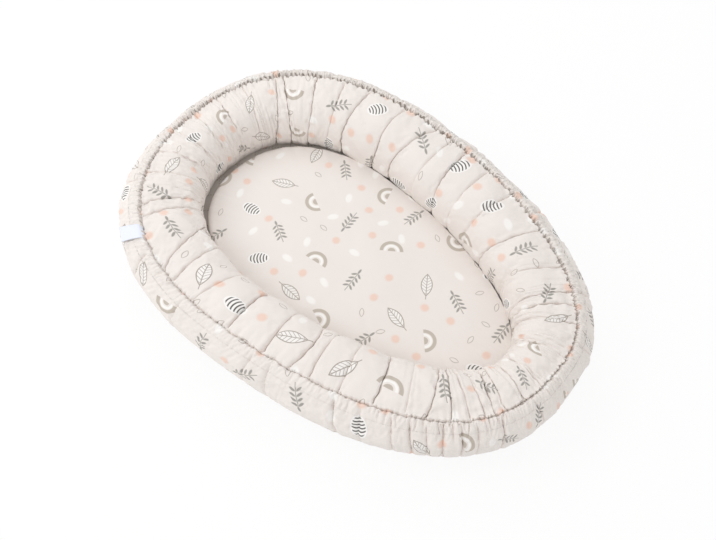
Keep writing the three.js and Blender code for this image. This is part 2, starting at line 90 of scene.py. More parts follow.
# How far the elastic draws the outer side in, in mm at each twentieth of a turn from the foot end
DRAWN_IN = eased([0, 1, 5, 9, 6, 4, 2.5, 3, 5, 5, 4, 5, 3.5, 1, 0, 0, 0, 0, 0, 0])


def both_ovals(turn, grow=0.0):
    """The bumper's inner and outer lines in plan, and the width between them."""
    inner = oval(INNER_OVAL, turn, -grow)
    outer = oval(OUTER_OVAL, turn, -grow)
    full = np.linalg.norm(outer - inner, axis=-1)
    width = full - DRAWN_IN(turn) * MM
    return inner, inner + (outer - inner) * (width / full)[..., None], width


def section(angle):
    """The share of the bumper's width from its inner side, and the height."""
    cos = np.cos(angle)
    sin = np.sin(angle)
    power = np.where(sin >= 0, UPPER_POWER, LOWER_POWER)
    across = 0.5 + 0.5 * np.sign(cos) * np.abs(cos) ** (2 / power)
    up = BULGE_HEIGHT + (BUMPER_HEIGHT - BULGE_HEIGHT) * np.abs(sin) ** (2 / UPPER_POWER)
    down = BULGE_HEIGHT * (1 - np.abs(sin) ** (2 / LOWER_POWER))
    return across, np.where(sin >= 0, up, down)


def ring(turn, angle, depth=0.0, grow=0.0):
    """Points of the bumper's surface, drawn in by a depth square to it."""
    turn, angle, depth = np.broadcast_arrays(turn, angle, depth)
    inner, outer, width = both_ovals(turn, grow)
    step = math.radians(1)
    across, height = section(angle)
    before = section(angle - step)
    after = section(angle + step)
    tangent_x = (after[0] - before[0]) * width
    tangent_z = after[1] - before[1]
    length = np.hypot(tangent_x, tangent_z)
    share = across - tangent_z / length * depth / width
    height = height + tangent_x / length * depth
    plan = inner + (outer - inner) * share[..., None]
    return np.concatenate([plan, height[..., None]], -1)


def drop_angle(height):
    return math.asin((1 - height / BULGE_HEIGHT) ** (LOWER_POWER / 2))


def perimeter(shape):
    points = oval(shape, np.linspace(0, 1, 721))
    return float(np.linalg.norm(np.diff(points, axis=0), axis=1).sum())


OUTER_LENGTH = perimeter(OUTER_OVAL)
INNER_LENGTH = perimeter(INNER_OVAL)
CREST_LENGTH = (OUTER_LENGTH + INNER_LENGTH) / 2
MEAN_WIDTH = 0.14
fine_angles = np.radians(np.arange(-70, 245, 0.25))
fine_across, fine_height = section(fine_angles)
fine_steps = np.hypot(np.diff(fine_across) * MEAN_WIDTH, np.diff(fine_height))
fine_arc = np.concatenate([[0], np.cumsum(fine_steps)])


def arc_at(angle):
    return np.interp(angle, fine_angles, fine_arc)


def angle_at(arc):
    return np.interp(arc, fine_arc, fine_angles)


TOP_START = SEAM_ANGLE + math.atan(SEAM_ROOM / BULGE_HEIGHT)
TOP_END = math.pi + drop_angle(TAPE_TOP)
CASING_END = float(angle_at(arc_at(SEAM_ANGLE) - CASING_WIDTH))
SIDE_END = -drop_angle(BASE_TOP + SEAM_ROOM)
OUTER_GIRTH = float(arc_at(SEAM_ANGLE) - arc_at(SIDE_END))


def smooth(low, high, value):
    share = np.clip((value - low) / (high - low), 0, 1)
    return share * share * (3 - 2 * share)


def bell(distance, width, power=2):
    """1 at no distance, and near 0 from about twice the width."""
    return np.exp(-((distance / width) ** power))


def fading(distance, width):
    return np.exp(-distance / width)


def round_turns(count):
    """Turns evenly spaced round the ring, one to a column."""
    return np.arange(count)[:, None] / count


def noise_round(length, pitch, rng, octaves=3):
    """A smooth random line that closes on itself, about 1 high, as a function of the turn."""
    waves = []
    for octave in range(octaves):
        count = max(2, round(length / pitch * 2**octave))
        for _ in range(4):
            waves.append((
                count + rng.integers(-count // 3, count // 3 + 1),
                rng.uniform(0, TURN),
                rng.uniform(0.4, 1) * 0.6**octave,
            ))
    return lambda turn: sum(a * np.sin(TURN * n * turn + p) for n, p, a in waves) / 2


def ruffles(length, pitch, spread, rng):
    """Puffs side by side round the ring, 0 in the folds between them and about 1 on top."""
    count = round(length / pitch)
    steps = rng.uniform(1 - spread, 1 + spread, count)
    edges = np.concatenate([[0], np.cumsum(steps)])
    edges = edges / edges[-1]
    heights = rng.uniform(0.55, 1.0, count) * np.sqrt(steps)

    def at(turn):
        turn = np.mod(turn, 1)
        index = np.clip(np.searchsorted(edges, turn, "right") - 1, 0, count - 1)
        share = (turn - edges[index]) / (edges[index + 1] - edges[index])
        return heights[index] * np.sin(np.pi * share) ** 0.75

    return at


# Meshes from lattices of points


def new_object(name, points, *parts, uv=None, sharp_from=None):
    """An object of points and of lists of faces, whose uv has a place for each face's corner."""
    mesh = bpy.data.meshes.new(name)
    mesh.vertices.add(len(points))
    mesh.vertices.foreach_set("co", np.asarray(points, np.float32).ravel())
    corners = np.concatenate([part.ravel() for part in parts]).astype(np.int32)
    sides = np.concatenate([np.full(*part.shape) for part in parts])
    mesh.loops.add(len(corners))
    mesh.loops.foreach_set("vertex_index", corners)
    mesh.polygons.add(len(sides))
    mesh.polygons.foreach_set("loop_start", (np.cumsum(sides) - sides).astype(np.int32))
    mesh.update(calc_edges=True)
    if uv is not None:
        layer = mesh.uv_layers.new(name="cloth")
        layer.uv.foreach_set("vector", np.asarray(uv, np.float32).ravel())
    mesh.validate()
    mesh.shade_smooth()
    if sharp_from is not None:
        mesh.set_sharp_from_angle(angle=sharp_from)
    thing = bpy.data.objects.new(name, mesh)
    bpy.context.scene.collection.objects.link(thing)
    return thing


def in_plan(points, *parts):
    """The places in plan of the faces' corners."""
    return np.concatenate([points[part.ravel(), :2] for part in parts])


def grid_faces(columns, rows, wrap_columns, wrap_rows):
    """Faces of a lattice whose point (c, r) is number c * rows + r, with each corner's c and r."""
    c = np.arange(columns if wrap_columns else columns - 1)
    r = np.arange(rows if wrap_rows else rows - 1)
    c, r = (a.ravel() for a in np.meshgrid(c, r, indexing="ij"))
    corner_c = np.stack([c, c + 1, c + 1, c], 1)
    corner_r = np.stack([r, r, r + 1, r + 1], 1)
    index = (corner_c % columns) * rows + corner_r % rows
    return index, corner_c, corner_r


def inside_out(points, faces):
    a, b, c, d = (points[faces[:, i]] for i in range(4))
    return (np.cross(b - a, c - a) * a).sum() + (np.cross(c - a, d - a) * a).sum() < 0


def cloth_places(columns, length):
    """How far along the cloth each column is, and where it closes on itself."""
    return np.arange(columns + 1)[:, None] / columns * length


def swept(name, loops, u, v):
    """A closed body from loops of points round the ring. u and v have a column and a row more."""
    columns, rows = loops.shape[:2]
    faces, corner_c, corner_r = grid_faces(columns, rows, True, True)
    uv = np.stack(np.broadcast_arrays(u, v), -1)[corner_c, corner_r]
    points = loops.reshape(-1, 3)
    if inside_out(points, faces):
        faces = faces[:, ::-1]
        uv = uv[:, ::-1]
    return new_object(name, points, faces, uv=uv, sharp_from=math.radians(78))


def cloth_ring(name, outside, inside, turns, arcs, length):
    """A closed ring of cloth: its outer lattice and a coarser one inside, with the cloth's own map."""
    loops = np.concatenate([outside, inside[:, ::-1]], 1)
    columns, rows = loops.shape[:2]
    shown = outside.shape[1]
    u = np.zeros((columns + 1, rows + 1))
    u[:columns, :shown] = turns * length
    u[columns, :shown] = (turns[0] + 1) * length
    u[:, shown:] = u[:, shown - 1 : shown]
    v = np.zeros(rows + 1)
    v[:shown] = arcs
    v[shown:] = arcs[-1] + np.linspace(0.01, 0.2, rows + 1 - shown)
    return swept(name, loops, u, v)


def tube(rings, first, last):
    """The points and the faces of a body from rings of points, with a point at each end."""
    count, size = rings.shape[:2]
    points = np.concatenate([rings.reshape(-1, 3), [first, last]])
    j = np.arange(size)
    k = (j + 1) % size
    end = (count - 1) * size
    walls = grid_faces(count, size, False, True)[0]
    first_cap = np.stack([np.full(size, count * size), j, k], 1)
    last_cap = np.stack([np.full(size, count * size + 1), end + k, end + j], 1)
    return points, (walls, first_cap, last_cap)


def slab_of(name, lower, upper):
    """A closed body between two lattices of one shape, joined round their edges."""
    columns, rows = lower.shape[:2]
    count = columns * rows
    points = np.concatenate([lower.reshape(-1, 3), upper.reshape(-1, 3)])
    low_faces = grid_faces(columns, rows, False, False)[0]
    number = np.arange(count).reshape(columns, rows)
    edge = np.concatenate([number[:, 0], number[-1, 1:], number[-2::-1, -1], number[0, -2:0:-1]])
    after = np.roll(edge, -1)
    walls = np.stack([edge, edge + count, after + count, after], 1)
    faces = np.concatenate([low_faces[:, ::-1], low_faces + count, walls[:, ::-1]])
    if inside_out(points, faces):
        faces = faces[:, ::-1]
    return new_object(name, points, faces, uv=in_plan(points, faces))


def slab_between(name, x, y, low, high):
    """A closed body over a lattice of places in plan, from one height to another."""
    return slab_of(name, *(np.stack(np.broadcast_arrays(x, y, z), -1) for z in (low, high)))


# Creases of the top panel. Each has its turn at three knots on the way from the outer seam to the pad,
# in thousandths, then its strength there, in tenths. They are spaced and leaned as such a cover gathers.
CREASES = [
    (26, 28, 30, 6, 2, 1), (67, 66, 66, 6, 5, 3), (87, 83, 79, 9, 7, 6), (100, 95, 91, 10, 5, 2),
    (123, 124, 125, 5, 2, 1), (155, 159, 163, 7, 5, 4), (190, 189, 188, 4, 2, 1),
    (213, 211, 209, 4, 2, 2), (236, 232, 229, 8, 7, 6), (250, 253, 256, 6, 2, 1),
    (264, 280, 285, 9, 9, 8), (294, 301, 305, 6, 6, 6), (322, 336, 340, 10, 10, 10),
    (345, 352, 357, 4, 3, 2), (368, 374, 379, 7, 6, 5), (400, 400, 400, 10, 9, 8),
    (407, 412, 421, 10, 10, 9), (438, 440, 441, 4, 3, 2), (466, 469, 470, 6, 3, 1),
    (495, 500, 503, 4, 4, 3), (522, 524, 524, 3, 3, 4), (551, 548, 545, 5, 5, 4),
    (576, 571, 567, 4, 3, 1), (610, 598, 591, 10, 9, 9), (621, 612, 606, 8, 8, 6),
    (674, 645, 622, 10, 9, 7), (683, 668, 655, 8, 5, 2), (704, 701, 698, 4, 2, 1),
    (735, 730, 725, 9, 8, 6), (762, 759, 754, 7, 7, 5), (782, 785, 775, 8, 7, 5),
    (796, 796, 797, 6, 4, 1), (816, 817, 817, 4, 2, 1), (838, 843, 840, 9, 9, 8),
    (859, 862, 862, 3, 2, 1), (872, 883, 883, 10, 10, 9), (889, 893, 891, 9, 8, 9),
    (905, 903, 899, 8, 4, 1), (917, 914, 911, 5, 4, 1), (926, 930, 937, 10, 9, 8),
    (937, 940, 945, 5, 4, 2), (958, 960, 962, 5, 3, 1), (982, 985, 986, 3, 2, 2),
]
KNOT_SHARES = (0.0, 0.36, 0.72)
LEAST_APART = 0.0028
CREASE_DEPTH = 0.0115
CREASE_WIDTH = 0.0015
CREASE_SWAY = 0.0011
CREASE_FADING = 0.55
DENT_DEPTH = 0.0022
DENT_WIDTH = 0.010
PUFF_SHARE = 0.045
PUFF_MOST = 0.0040
ROLL_OVER = 0.0022
ROLL_REACH = 0.006
DEEPEST = 0.0155
TOP_LONGER = 0.022
SIDE_LONGER = 0.012
COLUMN_STEP = 0.0055
COLUMNS_BETWEEN = 4
ROWS_BETWEEN = 2
SIDE_COLUMNS_BETWEEN = 5
EDGE_ROWS = 8
EDGE_ROW_STEP = 0.0034
MAIN_ROWS = 60


def crease_paths(shares):
    """Each crease's turn and strength at each row."""
    table = np.array(CREASES) / (1000, 1000, 1000, 10, 10, 10)
    row = np.minimum(shares, KNOT_SHARES[-1])
    sway = np.random.default_rng(SEED + 20).uniform(size=(4, len(table), 1))
    paths = np.stack([np.polyval(np.polyfit(KNOT_SHARES, knots, 2), row) for knots in table[:, :3]])
    swing = np.sin(TURN * ((0.6 + 1.2 * sway[0]) * shares + sway[1]))
    paths = paths + CREASE_SWAY / CREST_LENGTH * swing
    strengths = np.stack([np.interp(shares, KNOT_SHARES, knots) for knots in table[:, 3:]])
    weaker = 0.5 + 0.5 * np.sin(TURN * ((0.7 + 1.0 * sway[2]) * shares + sway[3]))
    strengths = strengths * (1.1 - CREASE_FADING * weaker)
    for _ in range(200):
        gap = np.roll(paths, -1, 0) - paths
        gap[-1] += 1
        push = np.maximum(LEAST_APART - gap, 0) / 2
        paths = paths - push + np.roll(push, 1, 0)
    return paths, strengths


def top_lattice(shares):
    """Columns that run along the creases, closer together beside them: each one's turns, its place
    between its two creases, the width between them, their strengths and the first one's number."""
    paths, strengths = crease_paths(shares)
    columns = []
    for i in range(len(paths)):
        j = (i + 1) % len(paths)
        start = paths[i]
        end = paths[j] + (1 if j == 0 else 0)
        span = (end - start) * CREST_LENGTH
        count = COLUMNS_BETWEEN * max(2, round(float(span.max()) / COLUMN_STEP))
        even = np.arange(count) / count
        for x in 0.2 * even + 0.8 * (0.5 - 0.5 * np.cos(np.pi * even)):
            columns.append((start + (end - start) * x, [x], span, strengths[i], strengths[j], i))
    return [np.stack(part) for part in zip(*columns)]


# Cloth that is cut too long for its place, let go there, and its wrinkles on a finer lattice

SETTLE_FRAMES = 22
DRAWN_BY = 14
UNEVEN = 0.0004
CLOTH_SETTINGS = {
    "quality": 5,
    "mass": 0.01,
    "air_damping": 1,
    "tension_stiffness": 15,
    "compression_stiffness": 15,
    "shear_stiffness": 4.5,
    "tension_damping": 5,
    "compression_damping": 5,
    "use_pressure": True,
    "vertex_group_mass": "held",
    "pin_stiffness": 1,
}


def settled(wanted, longer, held, pressure, bending):
    """How far the cloth of the longer shape lies from the wanted one, after it is drawn in to it."""
    faces = grid_faces(*wanted.shape[:2], True, False)[0]
    cloth = new_object("settling", longer.reshape(-1, 3), faces)
    group = cloth.vertex_groups.new(name="held")
    levels = np.round(held.ravel(), 2)
    for level in np.unique(levels[levels > 0]):
        group.add(np.nonzero(levels == level)[0].tolist(), float(level), "REPLACE")
    cloth.shape_key_add(name="Basis")
    drawn = cloth.shape_key_add(name="drawn")
    drawn.data.foreach_set("co", wanted.astype(np.float32).ravel())
    modifier = cloth.modifiers.new("cloth", "CLOTH")
    settings = dict(CLOTH_SETTINGS, bending_stiffness=bending, uniform_pressure_force=pressure)
    for name, value in settings.items():
        setattr(modifier.settings, name, value)
    modifier.settings.effector_weights.gravity = 0
    modifier.collision_settings.use_collision = False
    modifier.collision_settings.use_self_collision = False
    modifier.point_cache.frame_start = 1
    modifier.point_cache.frame_end = SETTLE_FRAMES
    for frame_number, level in ((1, 0.0), (DRAWN_BY, 1.0)):
        drawn.value = level
        drawn.keyframe_insert("value", frame=frame_number)
    for frame_number in range(1, SETTLE_FRAMES + 1):
        bpy.context.scene.frame_set(frame_number)
    shown = cloth.evaluated_get(bpy.context.evaluated_depsgraph_get())
    points = np.empty(wanted.size, np.float32)
    shown.data.vertices.foreach_get("co", points)
    mesh = cloth.data
    action = mesh.shape_keys.animation_data.action
    mesh.shape_keys.animation_data_clear()
    bpy.data.actions.remove(action)
    bpy.data.objects.remove(cloth)
    bpy.data.meshes.remove(mesh)
    bpy.context.scene.frame_set(1)
    return points.reshape(wanted.shape).astype(float) - wanted


def capped(shift, most):
    length = np.linalg.norm(shift, axis=-1, keepdims=True)
    return shift * most * np.tanh(length / most) / np.maximum(length, 1e-9)


def finer(values, places, closed):
    """Smooth steps between the values along the first axis, at the given places."""
    count = len(values)
    here = np.floor(places).astype(int)
    order = [here + k for k in (-1, 0, 1, 2)]
    knots = (values[k % count if closed else np.clip(k, 0, count - 1)] for k in order)
    return cubic(*knots, (places - here)[:, None, None])


def on_lattice(shift, columns_between, rows, few_rows):
    """The shift of the few rows and columns, carried to all of them."""
    row_places = np.interp(np.arange(rows), few_rows, np.arange(len(few_rows)))
    rows_done = finer(shift.transpose(1, 0, 2), row_places, False)
    column_places = np.arange(len(shift) * columns_between) / columns_between
    return finer(rows_done.transpose(1, 0, 2), column_places, True)


# The outer seam, which the top panel and the casing share: where it is pinched and how it wanders

SEAM_PINCHES = ruffles(OUTER_LENGTH, 0.0085, 0.7, np.random.default_rng(SEED + 10))
SEAM_DRIFT = noise_round(OUTER_LENGTH, 0.045, np.random.default_rng(SEED + 11))
STITCH_PINCHES = ruffles(OUTER_LENGTH, 0.0092, 0.6, np.random.default_rng(SEED + 12))
SEAM_WANDER = 0.0011
LIP_WIDTHS = (0.0026, 0.0009)
LIP_STEEPNESS = 2.6
PUFF_SHALLOWER = 0.5
KNOT_DEPTH = 0.0028
KNOT_REACH = 0.006
SMOOTHEST = 0.74
SMOOTH_REACH = 0.09
SEAM_SMOOTH_REACH = 0.13
SEAM_EASED = 0.4
WANDER_REACH = 0.012
SHIFT_REACH = 0.035

# Where the seam lies across the bumper, in mm from its mean line at each twentieth of a turn
SEAM_SHIFT = eased(
    [-3, -7, -7, -6, -9, -10, -10, -9, -7, -5, -4, -1, 0, -2, -4, -4, -3, -4, -6, -2]
)


def slackness(turns, reach=SMOOTH_REACH):
    """How slack the cover lies: 1 where it is smoothest, near the label's side."""
    return bell(np.mod(turns, 1) - SMOOTHEST, reach)


def seam_groove(turns, distance):
    """The seam's groove at a distance from it: deep between the puffs, narrow and shallow on them."""
    puffed = np.clip(SEAM_PINCHES(turns), 0, 1)
    width = LIP_WIDTHS[0] + (LIP_WIDTHS[1] - LIP_WIDTHS[0]) * puffed
    eased_here = 1 - SEAM_EASED * slackness(turns, SEAM_SMOOTH_REACH)
    deep = SEAM_DEPTH * (1 - PUFF_SHALLOWER * puffed) * eased_here
    knot = KNOT_DEPTH * (1 - puffed) ** 1.5
    return deep * bell(distance, width, LIP_STEEPNESS) + knot * fading(distance, KNOT_REACH)


def wandered(turns, angles, distance):
    """Section angles moved along with the seam, less and less away from it."""
    shift = SEAM_WANDER * SEAM_DRIFT(turns) * fading(distance, WANDER_REACH)
    shift = shift + SEAM_SHIFT(turns) * MM * fading(distance, SHIFT_REACH)
    return angle_at(arc_at(angles) + shift)


# Features of the top panel, each by its depth and how far it reaches

SEAM_PUCKER = (0.0018, 0.024)
PAD_PUCKER = (0.0014, 0.03)
PAD_SWELL = (0.0034, 0.016)
PAD_SWELL_PLACE = 0.027
HEAD_SWELL = (0.0060, 0.011)
HEAD_SWELL_PLACE = 0.013
FINE_WRINKLE = 0.0022
SLOW_WAVE = 0.0010
SETTLED_CREASE = (0.007, 0.005)
SETTLED_DEPTH = 0.002
SETTLED_REACH = 0.0055
SETTLED_MOST = 0.008
LINING = 0.0026


def top_panel():
    rng = np.random.default_rng(SEED)
    edge = EDGE_ROW_STEP * np.arange(EDGE_ROWS)
    main = np.linspace(0, 1, MAIN_ROWS + 1)[1:] ** 1.15
    shares = np.concatenate([edge, edge[-1] + (1 - edge[-1]) * main])
    rows = len(shares)
    angles = TOP_START + (TOP_END - TOP_START) * shares
    turns, place, span, near, far, owner = top_lattice(shares)
    from_near = place * span
    from_far = (1 - place) * span
    arc = arc_at(angles) - arc_at(TOP_START)
    to_seam = arc[None, :]
    to_end = (arc[-1] - arc)[None, :]
    keep = smooth(0.0, 0.02, to_end) * 0.85 + 0.15
    slit = near * bell(from_near, CREASE_WIDTH, 1.15) + far * bell(from_far, CREASE_WIDTH, 1.15)
    dent = near * fading(from_near, DENT_WIDTH) + far * fading(from_far, DENT_WIDTH)
    count = len(CREASES)
    peak = rng.uniform(0.75, 1.35, count)[owner][:, None]
    height = rng.uniform(0.45, 1.1, count)[owner][:, None]
    puff = np.minimum(span * PUFF_SHARE, PUFF_MOST) * np.sin(np.pi * place**peak) ** 0.8 * height
    puff = puff * (0.35 + 0.65 * np.minimum(near + far, 1))
    rise = smooth(0, 0.03, to_seam) * smooth(0, 0.03, to_end)
    off_seam = smooth(0, 0.005, to_seam)
    depth = (slit * CREASE_DEPTH + dent * DENT_DEPTH) * keep * off_seam - puff * rise

    # The panel turns down into the seam, and puckers there and beside the pad
    long_pucker = ruffles(OUTER_LENGTH, 0.027, 0.6, rng)
    inner_pucker = ruffles(INNER_LENGTH, 0.016, 0.6, rng)
    wander = noise_round(OUTER_LENGTH, 0.12, rng)
    drift = 0.004 * wander(turns) * smooth(0, 0.08, to_seam)
    depth = depth + seam_groove(turns + drift * 0.3, to_seam)
    pucker = SEAM_PUCKER[0] * (1 - long_pucker(turns + drift)) * fading(to_seam, SEAM_PUCKER[1])
    depth = depth + pucker * off_seam
    depth = depth + PAD_PUCKER[0] * (1 - inner_pucker(turns)) * fading(to_end, PAD_PUCKER[1])
    along = np.cos(turns * TURN)
    fuller = 1.4 - 0.2 * smooth(0.5, 1.0, -along) + 0.15 * smooth(0.6, 1.0, along)
    depth = depth - PAD_SWELL[0] * fuller * bell(to_end - PAD_SWELL_PLACE, PAD_SWELL[1])
    at_head = smooth(0.6, 1.0, -along)
    depth = depth - HEAD_SWELL[0] * at_head * bell(to_end - HEAD_SWELL_PLACE, HEAD_SWELL[1])

    # Fine wrinkles across both ends, in patches
    at_ends = np.abs(along) ** 1.5
    fine = noise_round(CREST_LENGTH, 0.019, rng, octaves=1)
    patches = noise_round(CREST_LENGTH, 0.08, rng, octaves=2)
    bowed = turns + 0.008 * (shares - 0.45) ** 2 + drift
    patch = smooth(-0.9, 0.3, patches(turns + 0.03 * shares)) * smooth(0.3, 0.9, at_ends)
    patch = patch * smooth(0, 0.012, to_seam) * smooth(0.01, 0.045, to_end)
    depth = depth + FINE_WRINKLE * bell(fine(bowed), 0.30) * patch
    slow_wave = noise_round(CREST_LENGTH, 0.16, rng)
    depth = depth - SLOW_WAVE * slow_wave(turns - 0.03 * shares) * rise

    # The settled cloth's wrinkles, fewest along the straight sides
    few = np.array([0] + list(range(EDGE_ROWS, rows, ROWS_BETWEEN)))
    sparse = (slice(None, None, COLUMNS_BETWEEN), few)
    turn_s, near_s, far_s = turns[sparse], near[sparse], far[sparse]
    deep, reach = SETTLED_CREASE
    crease = near_s * fading(from_near[sparse], reach) + far_s * fading(from_far[sparse], reach)
    groove = SETTLED_DEPTH + SEAM_DEPTH * bell(to_seam[:, few], SETTLED_REACH, 1.3)
    wanted = ring(turn_s, angles[few], crease * deep + groove)
    uneven = UNEVEN * rng.standard_normal(turn_s.shape)
    longer = ring(turn_s, angles[few], groove + uneven, grow=TOP_LONGER)
    held = np.where(place[::COLUMNS_BETWEEN] == 0, 0.9 * near_s, 0.0)
    held[:, [0, -1]] = 1
    shift = capped(settled(wanted, longer, held, 5.0, 0.5), SETTLED_MOST)
    shift = on_lattice(shift, COLUMNS_BETWEEN, rows, few) * (0.5 + 0.5 * at_ends[..., None])
    shift = shift * (0.3 + 0.7 * smooth(0.02, 0.05, to_end))[..., None]

    # One side of each crease rolls over it
    lean = np.where(rng.uniform(size=count) < 0.5, -1.0, 1.0)
    after = lean[(owner + 1) % count][:, None]
    before = lean[owner][:, None]
    slide = before * near * bell(from_near, ROLL_REACH) + after * far * bell(from_far, ROLL_REACH)
    moved = turns + slide * ROLL_OVER * keep * off_seam / CREST_LENGTH
    placed = wandered(turns, angles, to_seam)
    depth = np.minimum(depth, DEEPEST)
    outside = ring(moved, placed, depth) + shift
    kept = [0, 3, 6, 9, 13, 17, 21, 31, 41, 50, 58, rows - 1]
    below = np.maximum(depth[:, kept], 0.0) + LINING
    inside = ring(moved[:, kept], placed[:, kept], below) + shift[:, kept]
    return cloth_ring("bumper_top", outside, inside, turns, arc, CREST_LENGTH)


# The side band's folds. Each has its turn at the outer seam and at the floor, in thousandths, then its
# strength, in tenths.
SIDE_FOLDS = [
    (45, 50, 6), (100, 98, 8), (170, 175, 6), (235, 230, 7), (300, 305, 6), (355, 350, 8),
    (410, 415, 7), (470, 465, 6), (530, 535, 7), (585, 580, 6), (655, 668, 9), (700, 705, 4),
    (760, 757, 4), (772, 778, 5), (815, 825, 9), (832, 838, 5), (851, 856, 7), (862, 868, 10),
    (873, 876, 7), (884, 884, 10), (897, 896, 9), (909, 906, 6), (930, 925, 8), (965, 970, 6),
]
FOLD_DEPTH = 0.0080
FOLD_WIDTH = 0.0018
FOLD_RIDGE = (0.0010, 0.006)
FOLD_RIDGE_PLACE = 0.008
FULLEST = 0.88
BUNCHED = 0.672
FINEST = 0.34
GATHER_TRIES = 420
GATHER_LENGTHS = (0.009, 0.030)
GATHER_WIDTHS = (0.0009, 0.0011)
GATHER_DEPTHS = (0.0008, 0.0034)
BAND_SET_IN = 0.0012
BAND_GAP = 0.0016
BAND_LINING = 0.0020
BAND_MOST = 0.0035
OUTSIDE_COLUMNS = 2400

# Puffs outside the seam, each by its depth and how far it reaches
CLOSE_PUFFS = (0.0016, 0.018)
TINY_PUFFS = (0.0009, 0.017)
MEDIUM_PUFFS = (0.0020, 0.034)
LUMPS = (0.0005, 0.04)
SWELL_REACH = 0.003
LONG_PUFFS = 0.0012
BROAD_PUFFS = 0.0006
DIMPLES = (0.0001, 0.0006)
DIMPLE_REACHES = (0.0016, 0.005)


def gathers_outside():
    """The cloth outside the seam, one surface for the casing and the side band: its depth by the
    turn and by the distance from the seam. Only a line of dimples parts the two."""
    rng = np.random.default_rng(SEED + 1)
    short = ruffles(OUTER_LENGTH, 0.0082, 0.7, rng)
    medium = ruffles(OUTER_LENGTH, 0.017, 0.7, rng)
    long = ruffles(OUTER_LENGTH, 0.038, 0.6, rng)
    wander = noise_round(OUTER_LENGTH, 0.04, rng)
    tiny = ruffles(OUTER_LENGTH, 0.0044, 0.7, rng)
    lumps = noise_round(OUTER_LENGTH, 0.011, rng)
    broad = noise_round(OUTER_LENGTH, 0.09, rng)
    fullness = noise_round(OUTER_LENGTH, 0.2, rng)
    tries = rng.uniform(size=(GATHER_TRIES, 6))
    crowd = 0.18 + 0.82 * bell(tries[:, 0] - FULLEST, 0.07)
    crowd = crowd + 0.75 * bell(tries[:, 0] - BUNCHED, 0.022)
    tries[:, 4] *= 0.45 + 0.55 * crowd
    gathers = tries[tries[:, 1] < crowd]

    def depth_at(turns, away):
        to_floor = OUTER_GIRTH - away
        skew = 0.05 * wander(turns) * away
        slack = slackness(turns)
        full = 0.95 + 0.3 * fullness(turns) - 0.75 * slack
        swell = 1 - fading(away, SWELL_REACH)
        finer_here = smooth(-0.3, 0.6, np.cos(TURN * (turns - FINEST)))
        set_in = smooth(0.01, 0.04, away) * smooth(0.0, 0.02, to_floor)
        depth = seam_groove(turns, away) + BAND_SET_IN * set_in
        deep, reach = CLOSE_PUFFS
        close = deep * full * (1 + 1.2 * finer_here) * swell * bell(away, reach)
        depth = depth - close * short(turns + skew * 0.4)
        deep, reach = TINY_PUFFS
        grain = deep * full * (1 + 1.1 * finer_here) * swell * bell(away, reach)
        depth = depth - grain * tiny(turns - skew)
        deep, reach = MEDIUM_PUFFS
        depth = depth - deep * full * medium(turns + skew) * swell * bell(away, reach)
        hang = smooth(0, 0.02, away) * smooth(0.015, 0.08, to_floor)
        slow = LONG_PUFFS * long(turns + skew) + BROAD_PUFFS * broad(turns - skew)
        depth = depth - slow * hang
        deep, reach = LUMPS
        depth = depth - deep * lumps(turns + 0.2 * away) * swell * bell(away, reach)
        to_stitch = np.abs(away - CASING_WIDTH)
        pinched = 1 - STITCH_PINCHES(turns)
        least, more = DIMPLES
        depth = depth + (least + more * pinched) * bell(to_stitch, DIMPLE_REACHES[0])
        depth = depth + more * pinched * fading(to_stitch, DIMPLE_REACHES[1])

        def beside(path):
            return np.abs(np.mod(turns - path + 0.5, 1) - 0.5) * OUTER_LENGTH

        for start, _, reach, breadth, force, lean in gathers:
            length = GATHER_LENGTHS[0] + GATHER_LENGTHS[1] * reach**1.5
            aside = beside(start + 0.5 * (lean - 0.5) * away / OUTER_LENGTH)
            fade = smooth(0.0, 0.005, away) * (1 - smooth(0.5, 1.0, away / length))
            fold = bell(aside, GATHER_WIDTHS[0] + GATHER_WIDTHS[1] * breadth, 1.4)
            deep = GATHER_DEPTHS[0] + GATHER_DEPTHS[1] * force
            depth = depth + deep * fade * fold * (1 - 0.6 * slack)
        for start, end, strength in np.array(SIDE_FOLDS) / (1000, 1000, 10):
            aside = beside(start + (end - start) * away / OUTER_GIRTH)
            fade = strength * smooth(0.004, 0.016, away) * smooth(0.03, 0.075, to_floor)
            depth = depth + fade * FOLD_DEPTH * fading(aside, FOLD_WIDTH)
            depth = depth - fade * FOLD_RIDGE[0] * bell(aside - FOLD_RIDGE_PLACE, FOLD_RIDGE[1])
        return depth

    return depth_at


OUTSIDE_DEPTH = gathers_outside()


def outside_cloth(name, angles, away, kept, shift):
    """A ring of the cloth outside the seam, at distances from it, with its settled cloth's shift."""
    turns = round_turns(OUTSIDE_COLUMNS)
    wide = turns + 0 * angles
    placed = wandered(turns, angles, away)
    depth = OUTSIDE_DEPTH(turns, away)
    outside = ring(wide, placed, depth) + shift
    inside = ring(wide[:, kept], placed[:, kept], depth[:, kept] + BAND_LINING) + shift[:, kept]
    return cloth_ring(name, outside, inside, wide, away, OUTER_LENGTH)


def casing():
    shares = 0.5 - 0.5 * np.cos(np.pi * np.linspace(0, 1, 21))
    angles = SEAM_ANGLE + (CASING_END - SEAM_ANGLE) * shares
    arc = arc_at(SEAM_ANGLE) - arc_at(angles)
    return outside_cloth("casing", angles, arc, [0, 3, 6, 10, 14, 20], np.zeros((1, 21, 1)))


